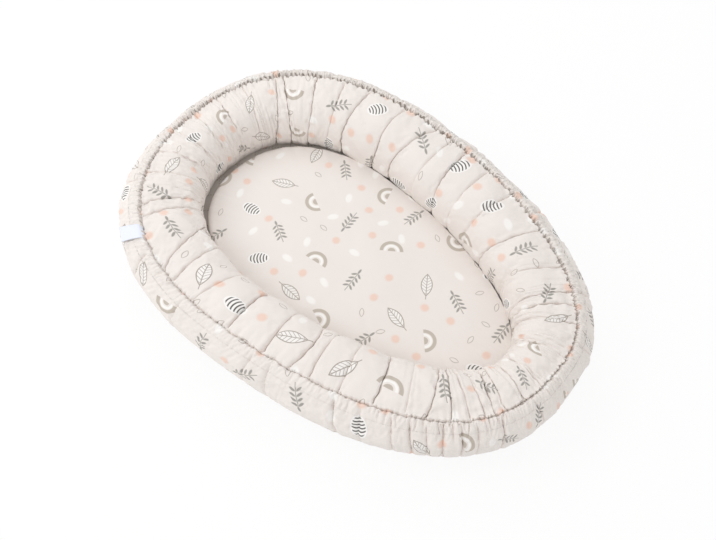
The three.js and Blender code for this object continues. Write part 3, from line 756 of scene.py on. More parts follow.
def side_band():
    rng = np.random.default_rng(SEED + 2)
    rows = 41
    shares = np.linspace(0, 1, rows) ** 1.2
    angles = CASING_END - BAND_GAP + (SIDE_END - CASING_END + BAND_GAP) * shares
    arc = arc_at(CASING_END) - arc_at(angles)

    # The settled cloth's wrinkles, which begin below the line of stitches
    wide = round_turns(OUTSIDE_COLUMNS) + 0 * shares
    some = wide[::SIDE_COLUMNS_BETWEEN, ::ROWS_BETWEEN]
    few = arc[None, ::ROWS_BETWEEN]
    pinch = 0.003 * (1 - STITCH_PINCHES(some)) * fading(few, 0.008)
    wanted = ring(some, angles[::ROWS_BETWEEN], STITCH_DEPTH + pinch)
    uneven = UNEVEN * rng.standard_normal(some.shape)
    longer = ring(some, angles[::ROWS_BETWEEN], STITCH_DEPTH + uneven, grow=SIDE_LONGER)
    held = np.zeros(some.shape)
    held[:, [0, -1]] = 1
    shift = capped(settled(wanted, longer, held, 3.0, 0.4), BAND_MOST)
    shift = on_lattice(shift, SIDE_COLUMNS_BETWEEN, rows, np.arange(0, rows, ROWS_BETWEEN))
    shift = shift * smooth(0.0, 0.02, arc)[None, :, None]
    kept = [0, 4, 8, 16, 24, 32, rows - 1]
    return outside_cloth("side_band", angles, CASING_WIDTH + arc, kept, shift)


# The pad, a crowned board in the hollow, with a wider gap at the head end

PAD_EDGE = 0.036
PAD_CROWN = 0.009
PAD_CORNER = 0.0022
PAD_CORNER_MORE = 0.0122
PAD_CORNER_LESS = 0.0005
PAD_GAP = 0.0088
PAD_INSET = -0.001
PAD_BOTTOM = 0.0076
PAD_UNDER = 0.0016
PAD_UNDER_INSET = 0.0022
PAD_LINING = 0.0016
BOARD_INSET = 0.0048
BOARD_BOTTOM = PAD_BOTTOM + 0.0024
PAD_OVAL = {
    **INNER_OVAL,
    "length": INNER_OVAL["length"] - PAD_INSET - PAD_GAP / 2,
    "width": INNER_OVAL["width"] - PAD_INSET,
    "shift": INNER_OVAL["shift"] + PAD_GAP / 2,
}
PAD_LENGTH = perimeter(PAD_OVAL)
PAD_MIDDLE = np.array([PAD_OVAL["shift"], 0.0])


def pad_ring(turns, share, inset, height):
    plan = (oval(PAD_OVAL, turns, inset) - PAD_MIDDLE) * share + PAD_MIDDLE
    return np.concatenate([plan, np.broadcast_to(height, plan.shape[:-1])[..., None]], -1)


def pad_profile(depth, bottom, turns):
    """Rings from the middle of the pad's top, out and down to its bottom."""
    rings = []
    along = np.cos(turns * TURN)
    corner = PAD_CORNER + PAD_CORNER_MORE * smooth(0.3, 1.0, -along)
    corner = corner - PAD_CORNER_LESS * smooth(0.5, 1.0, along)
    for share in np.linspace(0.03, 1, 46) ** 0.8:
        height = PAD_EDGE + PAD_CROWN * (1 - share**2) - depth
        rings.append(pad_ring(turns, share, corner + depth / 2, height))
    for turn in np.radians(np.arange(9, 91, 9)):
        inset = corner * (1 - math.sin(turn)) + depth
        height = PAD_EDGE - corner * (1 - math.cos(turn)) - depth / 2
        rings.append(pad_ring(turns, 1, inset, height))
    for share in np.linspace(0, 1, 7)[1:]:
        height = PAD_EDGE - corner - depth / 2
        rings.append(pad_ring(turns, 1, depth, height + (bottom - height) * share))
    return np.stack(rings)


def pad_body(name, rings, top, bottom):
    """A closed body from rings round the pad's middle, with the heights of its two end points."""
    points, parts = tube(rings, [PAD_MIDDLE[0], 0, top], [PAD_MIDDLE[0], 0, bottom])
    return new_object(name, points, *parts, uv=in_plan(points, *parts))


def pad_top():
    rng = np.random.default_rng(SEED + 3)
    turns = np.arange(520) / 520
    outside = pad_profile(0.0, PAD_BOTTOM, turns)
    pucker = ruffles(PAD_LENGTH, 0.019, 0.6, rng)
    wave = noise_round(PAD_LENGTH, 0.11, rng)
    x, y = outside[..., 0], outside[..., 1]
    edge = np.linalg.norm(oval(PAD_OVAL, turns) - PAD_MIDDLE, axis=-1)
    reach = np.linalg.norm(outside[..., :2] - PAD_MIDDLE, axis=-1)
    from_edge = np.maximum(edge - reach, 0)
    top = smooth(PAD_EDGE - 0.02, PAD_EDGE, outside[..., 2])
    drop = 0.0014 * (1 - pucker(turns)) * fading(from_edge, 0.018)
    drop = drop + 0.0009 * wave(turns) * fading(from_edge, 0.06)
    swell = 0.0009 * np.sin(x * 31 + 1.2 * np.sin(y * 23))
    swell = swell + 0.0007 * np.sin(y * 47 + 2.1 * np.sin(x * 17))
    outside[..., 2] += (swell - drop) * top
    inside = pad_profile(COVER, PAD_BOTTOM, turns)[[0, 12, 24, 36, 45, 50, 54, 57, 60]]
    inside[..., 2] -= PAD_LINING * smooth(0.02, 0.034, inside[..., 2])
    crown = PAD_EDGE + PAD_CROWN
    rings = np.concatenate([outside, inside[::-1]])
    return pad_body("pad_cover", rings, crown, crown - COVER - PAD_LINING)


def pad_core():
    rings = pad_profile(BOARD_INSET, BOARD_BOTTOM, np.arange(200) / 200)[::2]
    return pad_body("pad_board", rings, PAD_EDGE + PAD_CROWN - BOARD_INSET, BOARD_BOTTOM)


def pad_bottom():
    turns = np.arange(200) / 200
    high = PAD_BOTTOM + PAD_UNDER
    shares = np.linspace(0.05, 1, 16)
    rings = [pad_ring(turns, share, PAD_UNDER_INSET, high) for share in shares]
    rings += [pad_ring(turns, share, PAD_UNDER_INSET, PAD_BOTTOM) for share in np.linspace(1, 0.05, 16)]
    return pad_body("pad_underside", np.stack(rings), high, PAD_BOTTOM)


# Pieces under the cover

ROLL_BELOW = 0.0205
ELASTIC_BELOW = 0.0085
ELASTIC_THICKNESS = 0.0012
BINDING_HALF = 0.005
BINDING_HEIGHTS = (0.0076, 0.0094)


def bumper_roll():
    rng = np.random.default_rng(SEED + 4)
    columns = 360
    turns = round_turns(columns)
    angles = np.radians(np.linspace(-56, 231, 60))
    lumps = noise_round(CREST_LENGTH, 0.04, rng)
    depth = ROLL_BELOW + 0.0012 * lumps(turns + 0.01 * np.sin(angles * 5))
    seam = bell(angles - SEAM_ANGLE + 0.1, 0.22)
    loops = ring(turns + 0 * angles, angles, depth + 0.006 * seam)
    v = np.linspace(0, 0.4, angles.size + 1)
    return swept("filling_roll", loops, cloth_places(columns, CREST_LENGTH), v)


def strap_ring(name, corners, length):
    """A flat strap round the ring from its four corners' lattices."""
    places = cloth_places(len(corners[0]), length)
    return swept(name, np.stack(corners, 1), places, [0, 0.01, 0.011, 0.021, 0.022])


def casing_elastic():
    turns = np.arange(480) / 480
    at_seam = wandered(turns, SEAM_ANGLE, 0.0)
    at_end = wandered(turns, CASING_END, CASING_WIDTH)
    corners = []
    for below, shares in ((0, (0.22, 0.78)), (ELASTIC_THICKNESS, (0.78, 0.22))):
        near = ring(turns, at_seam, SEAM_DEPTH + ELASTIC_BELOW + below)
        far = ring(turns, at_end, STITCH_DEPTH + ELASTIC_BELOW + below)
        corners += [near + (far - near) * share for share in shares]
    return strap_ring("elastic_band", corners, OUTER_LENGTH)


def inner_tape():
    turns = np.arange(480) / 480
    top = ring(turns, TOP_END, 0.0)
    back = ring(turns, TOP_END, 0.01)
    across = top[:, :2] - back[:, :2]
    across = across / np.linalg.norm(across, axis=1, keepdims=True) * BINDING_HALF
    low, high = BINDING_HEIGHTS
    corners = []
    for side, height in ((-1, low), (1, low), (1, high), (-1, high)):
        corners.append(np.concatenate([top[:, :2] + side * across, np.full((480, 1), height)], 1))
    return strap_ring("seam_binding", corners, INNER_LENGTH)


def base_outline(turns):
    share = float(section(np.array(SIDE_END))[0])
    inner, outer, _ = both_ovals(turns)
    return inner + (outer - inner) * share


BASE_INNER = 0.0125
BASE_LEAST = 0.0008
QUILT_PITCH = 0.05
QUILT_DEPTH = 0.0024
QUILT_TOP_DEPTH = 0.0008
QUILT_EDGE = 0.006


def base_half(name, side):
    """Half of the quilted underside, with puffed diamonds between its lines of stitches."""
    x_all, y_all = base_outline(side * np.linspace(0, 0.5, 1441)).T
    y_all = side * y_all
    inside = y_all >= BASE_INNER
    low, high = x_all[inside].min(), x_all[inside].max()
    spread = 0.5 - 0.5 * np.cos(np.pi * (0.03 + 0.94 * np.linspace(0, 1, 300)))
    x = low + (high - low) * spread
    x[0], x[-1] = low, high
    order = np.argsort(x_all)
    y_edge = np.maximum(np.interp(x, x_all[order], y_all[order]), BASE_INNER + BASE_LEAST)
    share = np.linspace(0, 1, 100)
    y = BASE_INNER + (y_edge[:, None] - BASE_INNER) * share
    xx = x[:, None] + 0 * y
    a, b = (np.abs(np.sin(np.pi * way / QUILT_PITCH)) for way in (xx + y, xx - y))
    quilt = np.minimum(a, b) ** 0.45
    edge = np.minimum(share, 1 - share)[None, :] * (y_edge[:, None] - BASE_INNER)
    edge = np.minimum(edge, np.minimum(xx - low, high - xx))
    stitched = 1 - quilt * smooth(0, QUILT_EDGE, edge)
    top = BASE_TOP - QUILT_TOP_DEPTH * stitched
    return slab_between(name, xx, side * y, QUILT_DEPTH * stitched, top)


# The zip on the underside, with a cloth tab past each end

ZIP_HALF = 0.26
ZIP_HEIGHT = 0.0055
TAB_HALF = 0.0122
RIB_PITCH = 0.012
RIB_DEPTH = 0.0006
TAPE_START = 0.0032
TAPE_WIDTH = 0.009
TAPE_HALF_THICKNESS = 0.0003
TAPE_BEAD = 0.0005
TEETH_HALF = 0.2332
TOOTH_PITCH = 0.0021
TOOTH_MIDDLE = 0.0019
TOOTH_REACH = 0.00085
TOOTH_RISE = 0.00055
STRAND_RADIUS = 0.00024


def end_tab(name, direction):
    """The cloth tab past an end of the zip, ribbed by its rows of stitches."""
    start = direction * (ZIP_HALF + SEAM_ROOM)
    x_all, y_all = base_outline(np.linspace(-0.02, 0.02, 81) + (0.0 if direction > 0 else 0.5)).T
    order = np.argsort(y_all)
    y = np.linspace(-TAB_HALF, TAB_HALF, 16)
    x_edge = np.interp(y, y_all[order], x_all[order])
    x = start + (x_edge[None, :] - start) * np.linspace(0, 1, 80)[:, None]
    rib = RIB_DEPTH * (1 - np.abs(np.sin(np.pi * x / RIB_PITCH)) ** 0.4)
    return slab_between(name, x, y, rib, BASE_TOP)


def zip_tape(name, side):
    """A woven tape with a corded edge beside the teeth."""
    x = np.linspace(-ZIP_HALF, ZIP_HALF, 260)[:, None]
    share = np.linspace(0, 1, 12)
    y = TAPE_START + TAPE_WIDTH * share
    bead = TAPE_BEAD * bell(share - 0.06, 0.08)
    low = ZIP_HEIGHT - TAPE_HALF_THICKNESS - bead
    return slab_between(name, x, side * y, low, ZIP_HEIGHT + TAPE_HALF_THICKNESS + bead)


def zip_coil(name, side):
    """A row of teeth: one nylon strand wound in flat loops."""
    loops = round(2 * TEETH_HALF / TOOTH_PITCH)
    count = loops * 12 + 1
    phase = np.linspace(0, loops, count) * TURN
    x = np.linspace(-TEETH_HALF + 0.0005, TEETH_HALF - 0.0005, count)
    y = side * (TOOTH_MIDDLE + TOOTH_REACH * np.cos(phase))
    path = np.stack([x, y, ZIP_HEIGHT + TOOTH_RISE * np.sin(phase)], -1)
    ahead = np.gradient(path, axis=0)
    ahead /= np.linalg.norm(ahead, axis=1, keepdims=True)
    out = np.stack([np.zeros(count), side * np.cos(phase), np.sin(phase)], -1)
    out -= ahead * (out * ahead).sum(1, keepdims=True)
    out /= np.linalg.norm(out, axis=1, keepdims=True)
    up = np.cross(ahead, out)[:, None]
    spin = (np.arange(6) / 6 * TURN)[None, :, None]
    rings = path[:, None] + STRAND_RADIUS * (np.cos(spin) * out[:, None] + np.sin(spin) * up)
    points, parts = tube(rings, *path[[0, -1]])
    return new_object(name, points, *(part[:, ::-1] for part in parts))


LABEL_PLACE = 0.637
LABEL_WIDTH = 0.030
LABEL_LENGTH = 0.040
LABEL_LEAN = 0.012
LABEL_LIFT = 0.0046
LABEL_CLOTH = 0.0005
LABEL_FOLD = 0.0005
LABEL_WAVE = 0.0008
LABEL_BEND = 0.0022
LABEL_CURL = 0.0012


def label():
    """A blank ribbon folded double, sewn into the outer seam and laid over the casing."""
    across = np.linspace(-0.5, 0.5, 24)[:, None]
    run = np.linspace(0, 1, 34)
    fold = np.linspace(0, np.pi, 7)[1:-1]
    along = LABEL_LENGTH * np.concatenate([run, np.ones(fold.size), run[::-1]])
    along[run.size : run.size + fold.size] += LABEL_FOLD * np.sin(fold)
    side = np.concatenate([np.ones(run.size), np.cos(fold), -np.ones(run.size)])
    lift = LABEL_LIFT - (SEAM_DEPTH + LABEL_LIFT) * fading(along, LABEL_BEND)
    lift = lift - LABEL_WAVE * np.sin(np.pi * along / LABEL_LENGTH * 1.4)
    height = lift + LABEL_FOLD * side
    slope = np.gradient(height)
    reach = np.gradient(along)
    length = np.hypot(slope, reach)
    curl = LABEL_CURL * (2 * across) ** 2 * (along / LABEL_LENGTH) ** 2
    turns = LABEL_PLACE + (LABEL_WIDTH * across - LABEL_LEAN * along / LABEL_LENGTH) / OUTER_LENGTH
    sheets = []
    for half in (0.5, -0.5):
        s = along - half * LABEL_CLOTH * slope / length
        h = height + half * LABEL_CLOTH * reach / length
        angles = wandered(turns, angle_at(arc_at(SEAM_ANGLE) - s), np.maximum(s, 0))
        sheets.append(ring(turns, angles, -h - curl))
    return slab_of("blank_label", *sheets)


# Materials, from shader nodes


class Value:
    """A number in a tree of nodes. Sums and products of these add Math nodes."""

    def __init__(self, tree, socket):
        self.tree = tree
        self.socket = socket

    def __add__(self, other):
        return self.tree.math("ADD", self, other)

    def __sub__(self, other):
        return self.tree.math("SUBTRACT", self, other)

    def __rsub__(self, other):
        return self.tree.math("SUBTRACT", other, self)

    def __mul__(self, other):
        return self.tree.math("MULTIPLY", self, other)

    def __abs__(self):
        return self.tree.math("ABSOLUTE", self)


class Tree:
    """The nodes of a material or of the world."""

    def __init__(self, owner):
        owner.use_nodes = True
        self.owner = owner
        self.nodes = owner.node_tree.nodes
        self.links = owner.node_tree.links

    def feed(self, socket, value):
        if isinstance(value, Value):
            self.links.new(value.socket, socket)
        elif isinstance(value, bpy.types.NodeSocket):
            self.links.new(value, socket)
        else:
            socket.default_value = value

    def node(self, kind, settings=None, **inputs):
        made = self.nodes.new(kind)
        for key, value in (settings or {}).items():
            setattr(made, key, value)
        for key, value in inputs.items():
            self.feed(made.inputs[key.replace("_", " ")], value)
        return made

    def math(self, operation, *values, clamp=False):
        made = self.node("ShaderNodeMath", {"operation": operation, "use_clamp": clamp})
        for socket, value in zip(made.inputs, values):
            self.feed(socket, value)
        return Value(self, made.outputs[0])

    def vector(self, operation, *values, **inputs):
        made = self.node("ShaderNodeVectorMath", {"operation": operation}, **inputs)
        for socket, value in zip(made.inputs, values):
            self.feed(socket, value)
        return made.outputs[0]

    def parts(self, vector):
        made = self.node("ShaderNodeSeparateXYZ", Vector=vector)
        return [Value(self, made.outputs[i]) for i in range(3)]

    def noise(self, place, scale, detail, **inputs):
        made = self.node("ShaderNodeTexNoise", Vector=place, Scale=scale, Detail=detail, **inputs)
        return Value(self, made.outputs["Fac"])

    def chain(self, operation, values):
        result = values[0]
        for value in values[1:]:
            result = self.math(operation, result, value)
        return result

    def least(self, *values):
        return self.chain("MINIMUM", values)

    def most(self, *values):
        return self.chain("MAXIMUM", values)

    def inside(self, distance, soft):
        """1 where a distance is below zero, fading over a soft edge."""
        return self.math("MULTIPLY_ADD", distance, -1 / soft, 0.5, clamp=True)

    def mix(self, share, first, second):
        made = self.node("ShaderNodeMix", {"data_type": "RGBA"})
        for number, value in ((0, share), (6, first), (7, second)):
            self.feed(made.inputs[number], value)
        return made.outputs[2]

    def root(self, value):
        return self.math("SQRT", value)

    def ellipse(self, x, y, a, b):
        u = x * (1 / a)
        v = y * (1 / b)
        return (self.root(u * u + v * v) - 1) * min(a, b)

    def finish(self, colour, height, strength, distance, **inputs):
        """Sets the shader's colour, a bump from a height, and its other inputs."""
        bump = self.node("ShaderNodeBump", Strength=strength, Distance=distance, Height=height)
        inputs.update(Base_Color=colour, Normal=bump.outputs["Normal"])
        for key, value in inputs.items():
            self.feed(self.nodes["Principled BSDF"].inputs[key.replace("_", " ")], value)
        return self.owner


def material_tree(name):
    return Tree(bpy.data.materials.new(name))


def linear(red, green, blue):
    """A colour written in the usual 0 to 255 steps, as the shader wants it."""
    steps = np.array([red, green, blue]) / 255
    values = np.where(steps <= 0.04045, steps / 12.92, ((steps + 0.055) / 1.055) ** 2.4)
    return (*(float(v) for v in values), 1.0)


GROUND = linear(240, 233, 228)
GREY = linear(160, 157, 151)
TAUPE = linear(196, 186, 174)
DARK = linear(62, 59, 58)
LINE = linear(150, 140, 130)
WHITE = linear(252, 250, 247)
PEACH = linear(242, 205, 186)
PALE_LINE = linear(186, 178, 170)
# Stitch thread, dark enough to also stand in as painted shade of the seam's groove and gathers
THREAD_AND_SEAM_SHADE = linear(126, 116, 106)
# Painted shade for the mottle between the casing's gathers
SHADE = linear(150, 145, 138)
DARKER_CLOTH = linear(206, 196, 188)
QUILT_THREAD = linear(186, 176, 166)
QUILT_STITCH = 0.0085
WEAVE_PITCH = 0.0011
SATIN_PITCH = 0.0006
# Bands from the outer seam for the stitches, whose dark dashes are partly thread and partly painted seam
# shade
TOP_STITCHES_AND_SHADE = [(0.0, 0.0014)]
SIDE_STITCHES_AND_SHADE = [(0.0004, 0.0024), (CASING_WIDTH - 0.0012, CASING_WIDTH + 0.0006)]
STITCH_EDGE = 0.0005
STRIP_EDGE = 0.008
CELL = 0.0852
MOTIF_SCALE = 1.14
SOFT_EDGE = 0.9


def cells_of(tree, place, shift, seed, repeat, room):
    """Splits the cloth into cells and gives each one's random number and turned places in it, in mm."""
    moved = tree.vector("ADD", tree.vector("SCALE", place, Scale=1 / CELL), (*shift, 0.0))
    cell = tree.vector("FLOOR", moved)
    if repeat:
        cell = tree.vector("WRAP", cell, (float(repeat), 4096.0, 1.0))
    spot = tree.vector("SUBTRACT", tree.vector("FRACTION", moved), (0.5, 0.5, 0.0))
    numbered = tree.vector("ADD", cell, (0.5, 0.5, float(seed)))
    noise = tree.node("ShaderNodeTexWhiteNoise", {"noise_dimensions": "3D"}, Vector=numbered)
    first, second, third = tree.parts(noise.outputs["Color"])
    spot = tree.vector("SCALE", spot, Scale=CELL * 1000 / MOTIF_SCALE)
    drift = tree.node("ShaderNodeCombineXYZ", X=(first - 0.5) * room, Y=(second - 0.5) * room)
    spot = tree.vector("SUBTRACT", spot, drift.outputs[0])
    about_z = {"rotation_type": "Z_AXIS"}
    turned = tree.node("ShaderNodeVectorRotate", about_z, Vector=spot, Angle=third * (2 * TURN))
    x, y, _ = tree.parts(turned.outputs[0])
    return x, y, Value(tree, noise.outputs["Value"])


def print_colours(tree, place, repeat):
    """The printed pattern: sprigs, arches, striped pebbles and veined leaves, with dots between. Its
    numbers are in mm of the motifs' own scale."""
    colour = tree.mix(0.0, GROUND, GROUND)

    def picked(low, high):
        return tree.math("GREATER_THAN", pick, low) * tree.math("LESS_THAN", pick, high)

    def painted(distance, share, ink, soft=SOFT_EDGE):
        return tree.mix(tree.inside(distance, soft) * share, colour, ink)

    # Large motifs, one to a cell
    x, y, pick = cells_of(tree, place, (0.0, 0.0), 3, repeat, 22.0)
    across = abs(x)

    # A sprig with pairs of leaves
    rung = tree.math("FLOORED_MODULO", y + 15.0, 7.5) - 3.2
    a = (across - 4.6) * 0.80 - rung * 0.60
    b = (across - 4.6) * 0.60 + rung * 0.80
    leaves = tree.most(tree.ellipse(a, b, 4.8, 1.7), abs(y) - 15.0)
    tip = tree.ellipse(x, y - 18.5, 1.8, 4.6)
    stem = tree.most(across - 0.55, abs(y + 2.0) - 19.0)
    colour = painted(tree.least(leaves, tip, stem), picked(0.0, 0.3), GREY)

    # An arch of three bands
    arch = picked(0.3, 0.52)
    reach = tree.root(x * x + (y + 8.0) * (y + 8.0))
    floor = -8.0 - y
    colour = painted(tree.most(abs(reach - 16.0) - 2.7, floor), arch, TAUPE)
    colour = painted(tree.most(abs(reach - 10.3) - 1.7, floor), arch, WHITE)
    colour = painted(tree.most(reach - 6.0, floor), arch, TAUPE)

    # A striped pebble
    pebble = picked(0.52, 0.76)
    shape = tree.ellipse(x, y, 17.0, 10.5)
    colour = painted(shape, pebble, WHITE)
    bend = x + y * y * 0.035
    stripe = abs(tree.math("FLOORED_MODULO", bend, 5.0) - 2.5) - 0.95
    colour = painted(tree.most(stripe, shape + 1.6), pebble, DARK)

    # A veined leaf
    leaf = picked(0.76, 1.01)
    side = across - (1.0 - y * y * (1 / 400.0)) * 8.5
    colour = painted(side, leaf * 0.6, WHITE)
    vein = tree.math("FLOORED_MODULO", y - across * 0.8 + 20.0, 5.5) - 2.75
    ribs = tree.most(tree.least(abs(vein) - 0.4, across - 0.5), side)
    line = tree.least(abs(side) - 0.6, ribs)
    stalk = tree.most(across - 0.5, abs(y + 22.0) - 4.0)
    colour = painted(tree.least(line, stalk), leaf, LINE)

    # Small ones in the places between
    for shift, seed, low in (((0.5, 0.5), 5, 0.0), ((0.5, 0.0), 8, 0.36), ((0.0, 0.5), 13, 0.30)):
        x, y, pick = cells_of(tree, place, shift, seed, repeat, 14.0)
        colour = painted(tree.ellipse(x, y, 6.4, 6.0), picked(low, low + 0.26) * 0.75, PEACH, 3.5)
        egg = picked(low + 0.26, low + 0.52) * 0.85
        colour = painted(tree.ellipse(x, y, 9.0, 5.2), egg, WHITE, 2.5)
        rim = abs(abs(x) - (1.0 - y * y * (1 / 56.0)) * 3.2) - 0.55
        colour = painted(tree.most(rim, abs(y) - 7.3), picked(low + 0.52, 1.01), PALE_LINE, 0.8)
    return colour


def cloth_map(tree):
    return tree.node("ShaderNodeUVMap", {"uv_map": "cloth"}).outputs["UV"]


def object_map(tree):
    return tree.node("ShaderNodeTexCoord").outputs["Object"]


def sewn(tree, place, colour, length, seams):
    """Uneven dark stitches along seams, each between two distances from the outer one; their dark dashes
    are thread and also painted shade of the seam's groove and gathers. Most of them show where the
    gathers are finest. With two seams, the casing strip also gets a mottle of painted shade between its
    gathers."""
    along, across, _ = tree.parts(place)
    share = tree.math("COSINE", along * (TURN / length) - TURN * FINEST) * 0.42 + 0.46
    spot = tree.node("ShaderNodeCombineXYZ", X=along, Y=across * 0.4).outputs[0]
    dash = tree.most(0.0, tree.least((tree.noise(spot, 190.0, 1.0) - 0.44) * 7.0, 1.0))
    lines = [abs(across - (low + high) / 2) - (high - low) / 2 for low, high in seams]
    # A noise mottle of painted shade between the fine gathers on the casing strip
    if len(seams) > 1:
        fold = tree.most(0.0, tree.least((tree.noise(spot, 330.0, 2.0) - 0.47) * 5.0, 1.0))
        strip = tree.inside(across - CASING_WIDTH, STRIP_EDGE)
        colour = tree.mix(fold * share * strip * 0.5, colour, SHADE)
    # Dark dashes: thread, and painted shade of the seam's groove and gathers
    return tree.mix(tree.inside(tree.least(*lines), STITCH_EDGE) * dash * share, colour, THREAD_AND_SEAM_SHADE)


def quilted(tree, place, colour):
    """Lines of stitches that cross in diamonds, as on the underside."""
    x, y, _ = tree.parts(place)
    shown = []
    for across, along in ((x + y, x - y), (x - y, x + y)):
        line = abs(tree.math("SINE", across * (math.pi / QUILT_PITCH)))
        dash = tree.math("SINE", along * (TURN / QUILT_STITCH))
        shown.append(tree.inside(line - 0.07, 0.06) * tree.inside(-0.3 - dash, 0.5))
    return tree.mix(tree.most(*shown) * 0.8, colour, QUILT_THREAD)


def cotton(name, repeat=None, stitches=None, ground=None):
    """Woven cotton, printed, or quilted where it has a plain ground."""
    tree = material_tree(name)
    place = cloth_map(tree)
    colour = quilted(tree, place, ground) if ground else print_colours(tree, place, repeat)
    colour = tree.mix(tree.noise(place, 14.0, 4.0) * 0.16, colour, DARKER_CLOTH)
    if stitches:
        # Stitches, with painted shade of the seam and its gathers
        colour = sewn(tree, place, colour, *stitches)
    x, y, _ = tree.parts(place)
    threads = [tree.math("SINE", part * (TURN / WEAVE_PITCH)) for part in (x, y)]
    height = threads[0] * threads[1] * 0.5 + tree.noise(place, 420.0, 3.0)
    return tree.finish(
        colour,
        height,
        strength=0.35,
        distance=0.0004,
        Roughness=0.88,
        Specular_IOR_Level=0.25,
        Sheen_Weight=0.18,
        Sheen_Roughness=0.5,
        Sheen_Tint=(1.0, 0.98, 0.95, 1.0),
    )


def fibre(name):
    tree = material_tree(name)
    height = tree.noise(object_map(tree), 90.0, 8.0, Roughness=0.7)
    colour = tree.mix(height, linear(226, 224, 220), linear(252, 251, 248))
    return tree.finish(colour, height, 0.8, 0.002, Roughness=0.95, Sheen_Weight=0.4)


def ribbed(name, colour, dark, pitch, roughness):
    """Woven tape: ribs across it, with a herringbone of two tones."""
    tree = material_tree(name)
    x, y, _ = tree.parts(cloth_map(tree))
    rib = tree.math("SINE", x * (TURN / pitch) + y * (TURN / pitch * 0.5))
    share = rib * 0.5 + 0.5
    return tree.finish(tree.mix(share, dark, colour), share, 0.6, 0.0003, Roughness=roughness)


def satin(name):
    tree = material_tree(name)
    x, y, _ = tree.parts(cloth_map(tree))
    threads = tree.math("SINE", (x + y) * (TURN / SATIN_PITCH))
    colour = tree.mix(threads * 0.5 + 0.5, linear(226, 231, 245), linear(240, 244, 252))
    return tree.finish(colour, threads, 0.25, 0.0002, Roughness=0.42, Sheen_Weight=0.3)


def solid(name, colour, other, roughness, metallic, scale):
    """Moulded or cast: a faint change of tone and of gloss."""
    tree = material_tree(name)
    share = tree.noise(object_map(tree), scale, 5.0)
    gloss = share * 0.2 + (roughness - 0.1)
    mixed = tree.mix(share, colour, other)
    return tree.finish(mixed, share, 0.15, 0.0002, Roughness=gloss, Metallic=metallic)


top_cloth = cotton(
    "printed cotton, bumper top", round(CREST_LENGTH / CELL), (CREST_LENGTH, TOP_STITCHES_AND_SHADE)
)
side_cloth = cotton(
    "printed cotton, side band", round(OUTER_LENGTH / CELL), (OUTER_LENGTH, SIDE_STITCHES_AND_SHADE)
)
FINISHES = {
    "printed_cotton": cotton("printed cotton, pad"),
    "quilted_cotton": cotton("plain cotton, quilted", ground=linear(234, 227, 220)),
    "fibre_filling": fibre("fibre filling"),
    "woven_elastic": ribbed(
        "woven elastic", linear(244, 243, 240), linear(220, 218, 214), 0.0016, 0.8
    ),
    "seam_tape": ribbed("seam tape", linear(232, 224, 216), linear(210, 201, 192), 0.0011, 0.85),
    "zip_tape": ribbed("zip tape", linear(230, 222, 214), linear(206, 197, 188), 0.0012, 0.8),
    "label_ribbon": satin("label ribbon"),
    "zip_nylon": solid("zip nylon", linear(232, 226, 220), linear(218, 211, 203), 0.45, 0.0, 300.0),
    "zip_metal": solid("zip metal", linear(205, 202, 198), linear(182, 179, 175), 0.32, 1.0, 500.0),
}


def finish_with(piece, slot, material=None):
    piece.data.materials.clear()
    piece.data.materials.append(material or FINISHES[slot])


def dress(piece, slot, node, material=None):
    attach(piece, "lounger")
    finish_with(piece, slot, material)
    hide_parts(node)
    return piece


def both(make, name, slot, node, first, second):
    """A pair of pieces, the first on the plus side and the second on the minus side."""
    sides = ((first, 1), (second, -1))
    return [dress(make(f"{name}_{word}", side), slot, f"{node}_{word}") for word, side in sides]


top = dress(top_panel(), "printed_cotton", "bumper_top_panel", top_cloth)
gathered = dress(casing(), "printed_cotton", "elastic_casing", side_cloth)
band = dress(side_band(), "printed_cotton", "bumper_side_band", side_cloth)
pad = dress(pad_top(), "printed_cotton", "mattress_cover_top")
roll = dress(bumper_roll(), "fibre_filling", "bumper_roll")
dress(casing_elastic(), "woven_elastic", "casing_elastic")
dress(inner_tape(), "seam_tape", "inner_seam_tape")
board = dress(pad_core(), "fibre_filling", "mattress_core")
underside = dress(pad_bottom(), "quilted_cotton", "mattress_cover_bottom")
tag = dress(label(), "label_ribbon", "side_label")
base_left, base_right = both(base_half, "base", "quilted_cotton", "base_panel", "left", "right")
both(end_tab, "tab", "seam_tape", "zip_end_tab", "foot", "head")
both(zip_tape, "tape", "zip_tape", "zip_tape", "left", "right")
both(zip_coil, "coil", "zip_nylon", "zip_coil", "left", "right")
METAL_EDGE = 0.00018
for name in ("zip_top_stop_left", "zip_top_stop_right", "zip_bottom_stop", "zip_slider", "zip_pull"):
    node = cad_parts[name]
    finish_with(node, "zip_metal")
    edges = node.modifiers.new("edges", "BEVEL")
    edges.width = METAL_EDGE
    edges.segments = 2
    edges.limit_method = "ANGLE"

# The floor, the light and the camera. The floor shows as near white, but keeps the shadow.

FLOOR_SHOWN = 0.87
FLOOR_DROP = 0.0004
WORLD_LEVEL = 0.78
LAMP_SIZE = 1.6
LAMP_TARGET = Vector((0, 0, 0.05))
LAMPS = {
    "front": ((1.0, -1.3, 2.4), 4.5),
    "left": ((-1.5, -1.5, 1.7), 15.5),
    "far": ((-1.6, 1.2, 1.9), 12.0),
}
AZIMUTH = math.radians(40.55)
ELEVATION = math.radians(58.8)
CAMERA_TARGET = Vector((0.0337, -0.0301, 0.060))
DISTANCE = 1.577
SENSOR = 36.0
FOCAL_PIXELS = 899.7
PHOTO_WIDTH = 716
ALL_WHITE = (1.0, 1.0, 1.0, 1.0)

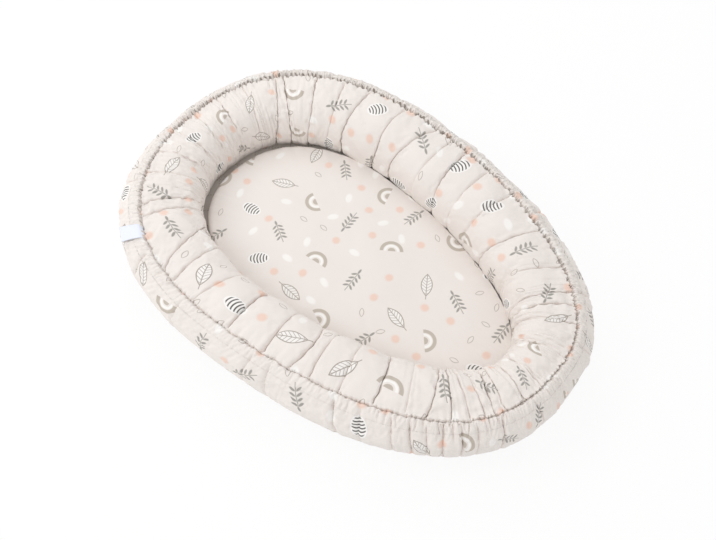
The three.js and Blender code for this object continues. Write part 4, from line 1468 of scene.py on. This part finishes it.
tree = material_tree("floor")
tree.nodes.remove(tree.nodes["Principled BSDF"])
rays = tree.node("ShaderNodeLightPath").outputs
seen = tree.most(rays["Is Camera Ray"], rays["Is Glossy Ray"], rays["Is Transmission Ray"])
plain = tree.node("ShaderNodeBsdfDiffuse", Color=(0.96, 0.96, 0.96, 1.0))
bright = tree.node("ShaderNodeEmission", Color=ALL_WHITE, Strength=1.0)
mixed = tree.node("ShaderNodeMixShader")
for socket, value in zip(mixed.inputs, (seen * FLOOR_SHOWN, plain.outputs[0], bright.outputs[0])):
    tree.feed(socket, value)
tree.feed(tree.nodes["Material Output"].inputs["Surface"], mixed.outputs[0])
at_floor = (0, 0, -FLOOR_DROP)
bpy.ops.mesh.primitive_circle_add(vertices=96, radius=30, fill_type="NGON", location=at_floor)
ground = bpy.context.object
ground.name = "floor"
ground.data.materials.append(tree.owner)

scene = bpy.context.scene
scene.world = bpy.data.worlds.new("studio")
tree = Tree(scene.world)
rays = tree.node("ShaderNodeLightPath").outputs
seen = tree.most(rays["Is Camera Ray"], rays["Is Glossy Ray"])
background = tree.nodes["Background"].inputs
tree.feed(background["Strength"], tree.math("MULTIPLY_ADD", seen, 1 - WORLD_LEVEL, WORLD_LEVEL))
tree.feed(background["Color"], ALL_WHITE)


def stand(name, data, place, way):
    """Puts a lamp or a camera at a place, looking a way."""
    thing = bpy.data.objects.new(name, data)
    scene.collection.objects.link(thing)
    thing.location = place
    thing.rotation_mode = "QUATERNION"
    thing.rotation_quaternion = way.to_track_quat("-Z", "Y")
    return thing


for name, (place, power) in LAMPS.items():
    light = bpy.data.lights.new(name, "AREA")
    light.shape = "DISK"
    light.size = LAMP_SIZE
    light.energy = power
    stand(name, light, place, LAMP_TARGET - Vector(place))

lens = bpy.data.cameras.new("camera")
lens.sensor_width = SENSOR
lens.lens = FOCAL_PIXELS * SENSOR / PHOTO_WIDTH
level = math.cos(ELEVATION)
back = Vector((math.sin(AZIMUTH) * level, -math.cos(AZIMUTH) * level, math.sin(ELEVATION)))
scene.camera = stand("camera", lens, CAMERA_TARGET + back * DISTANCE, -back)
scene.view_settings.view_transform = "Standard"
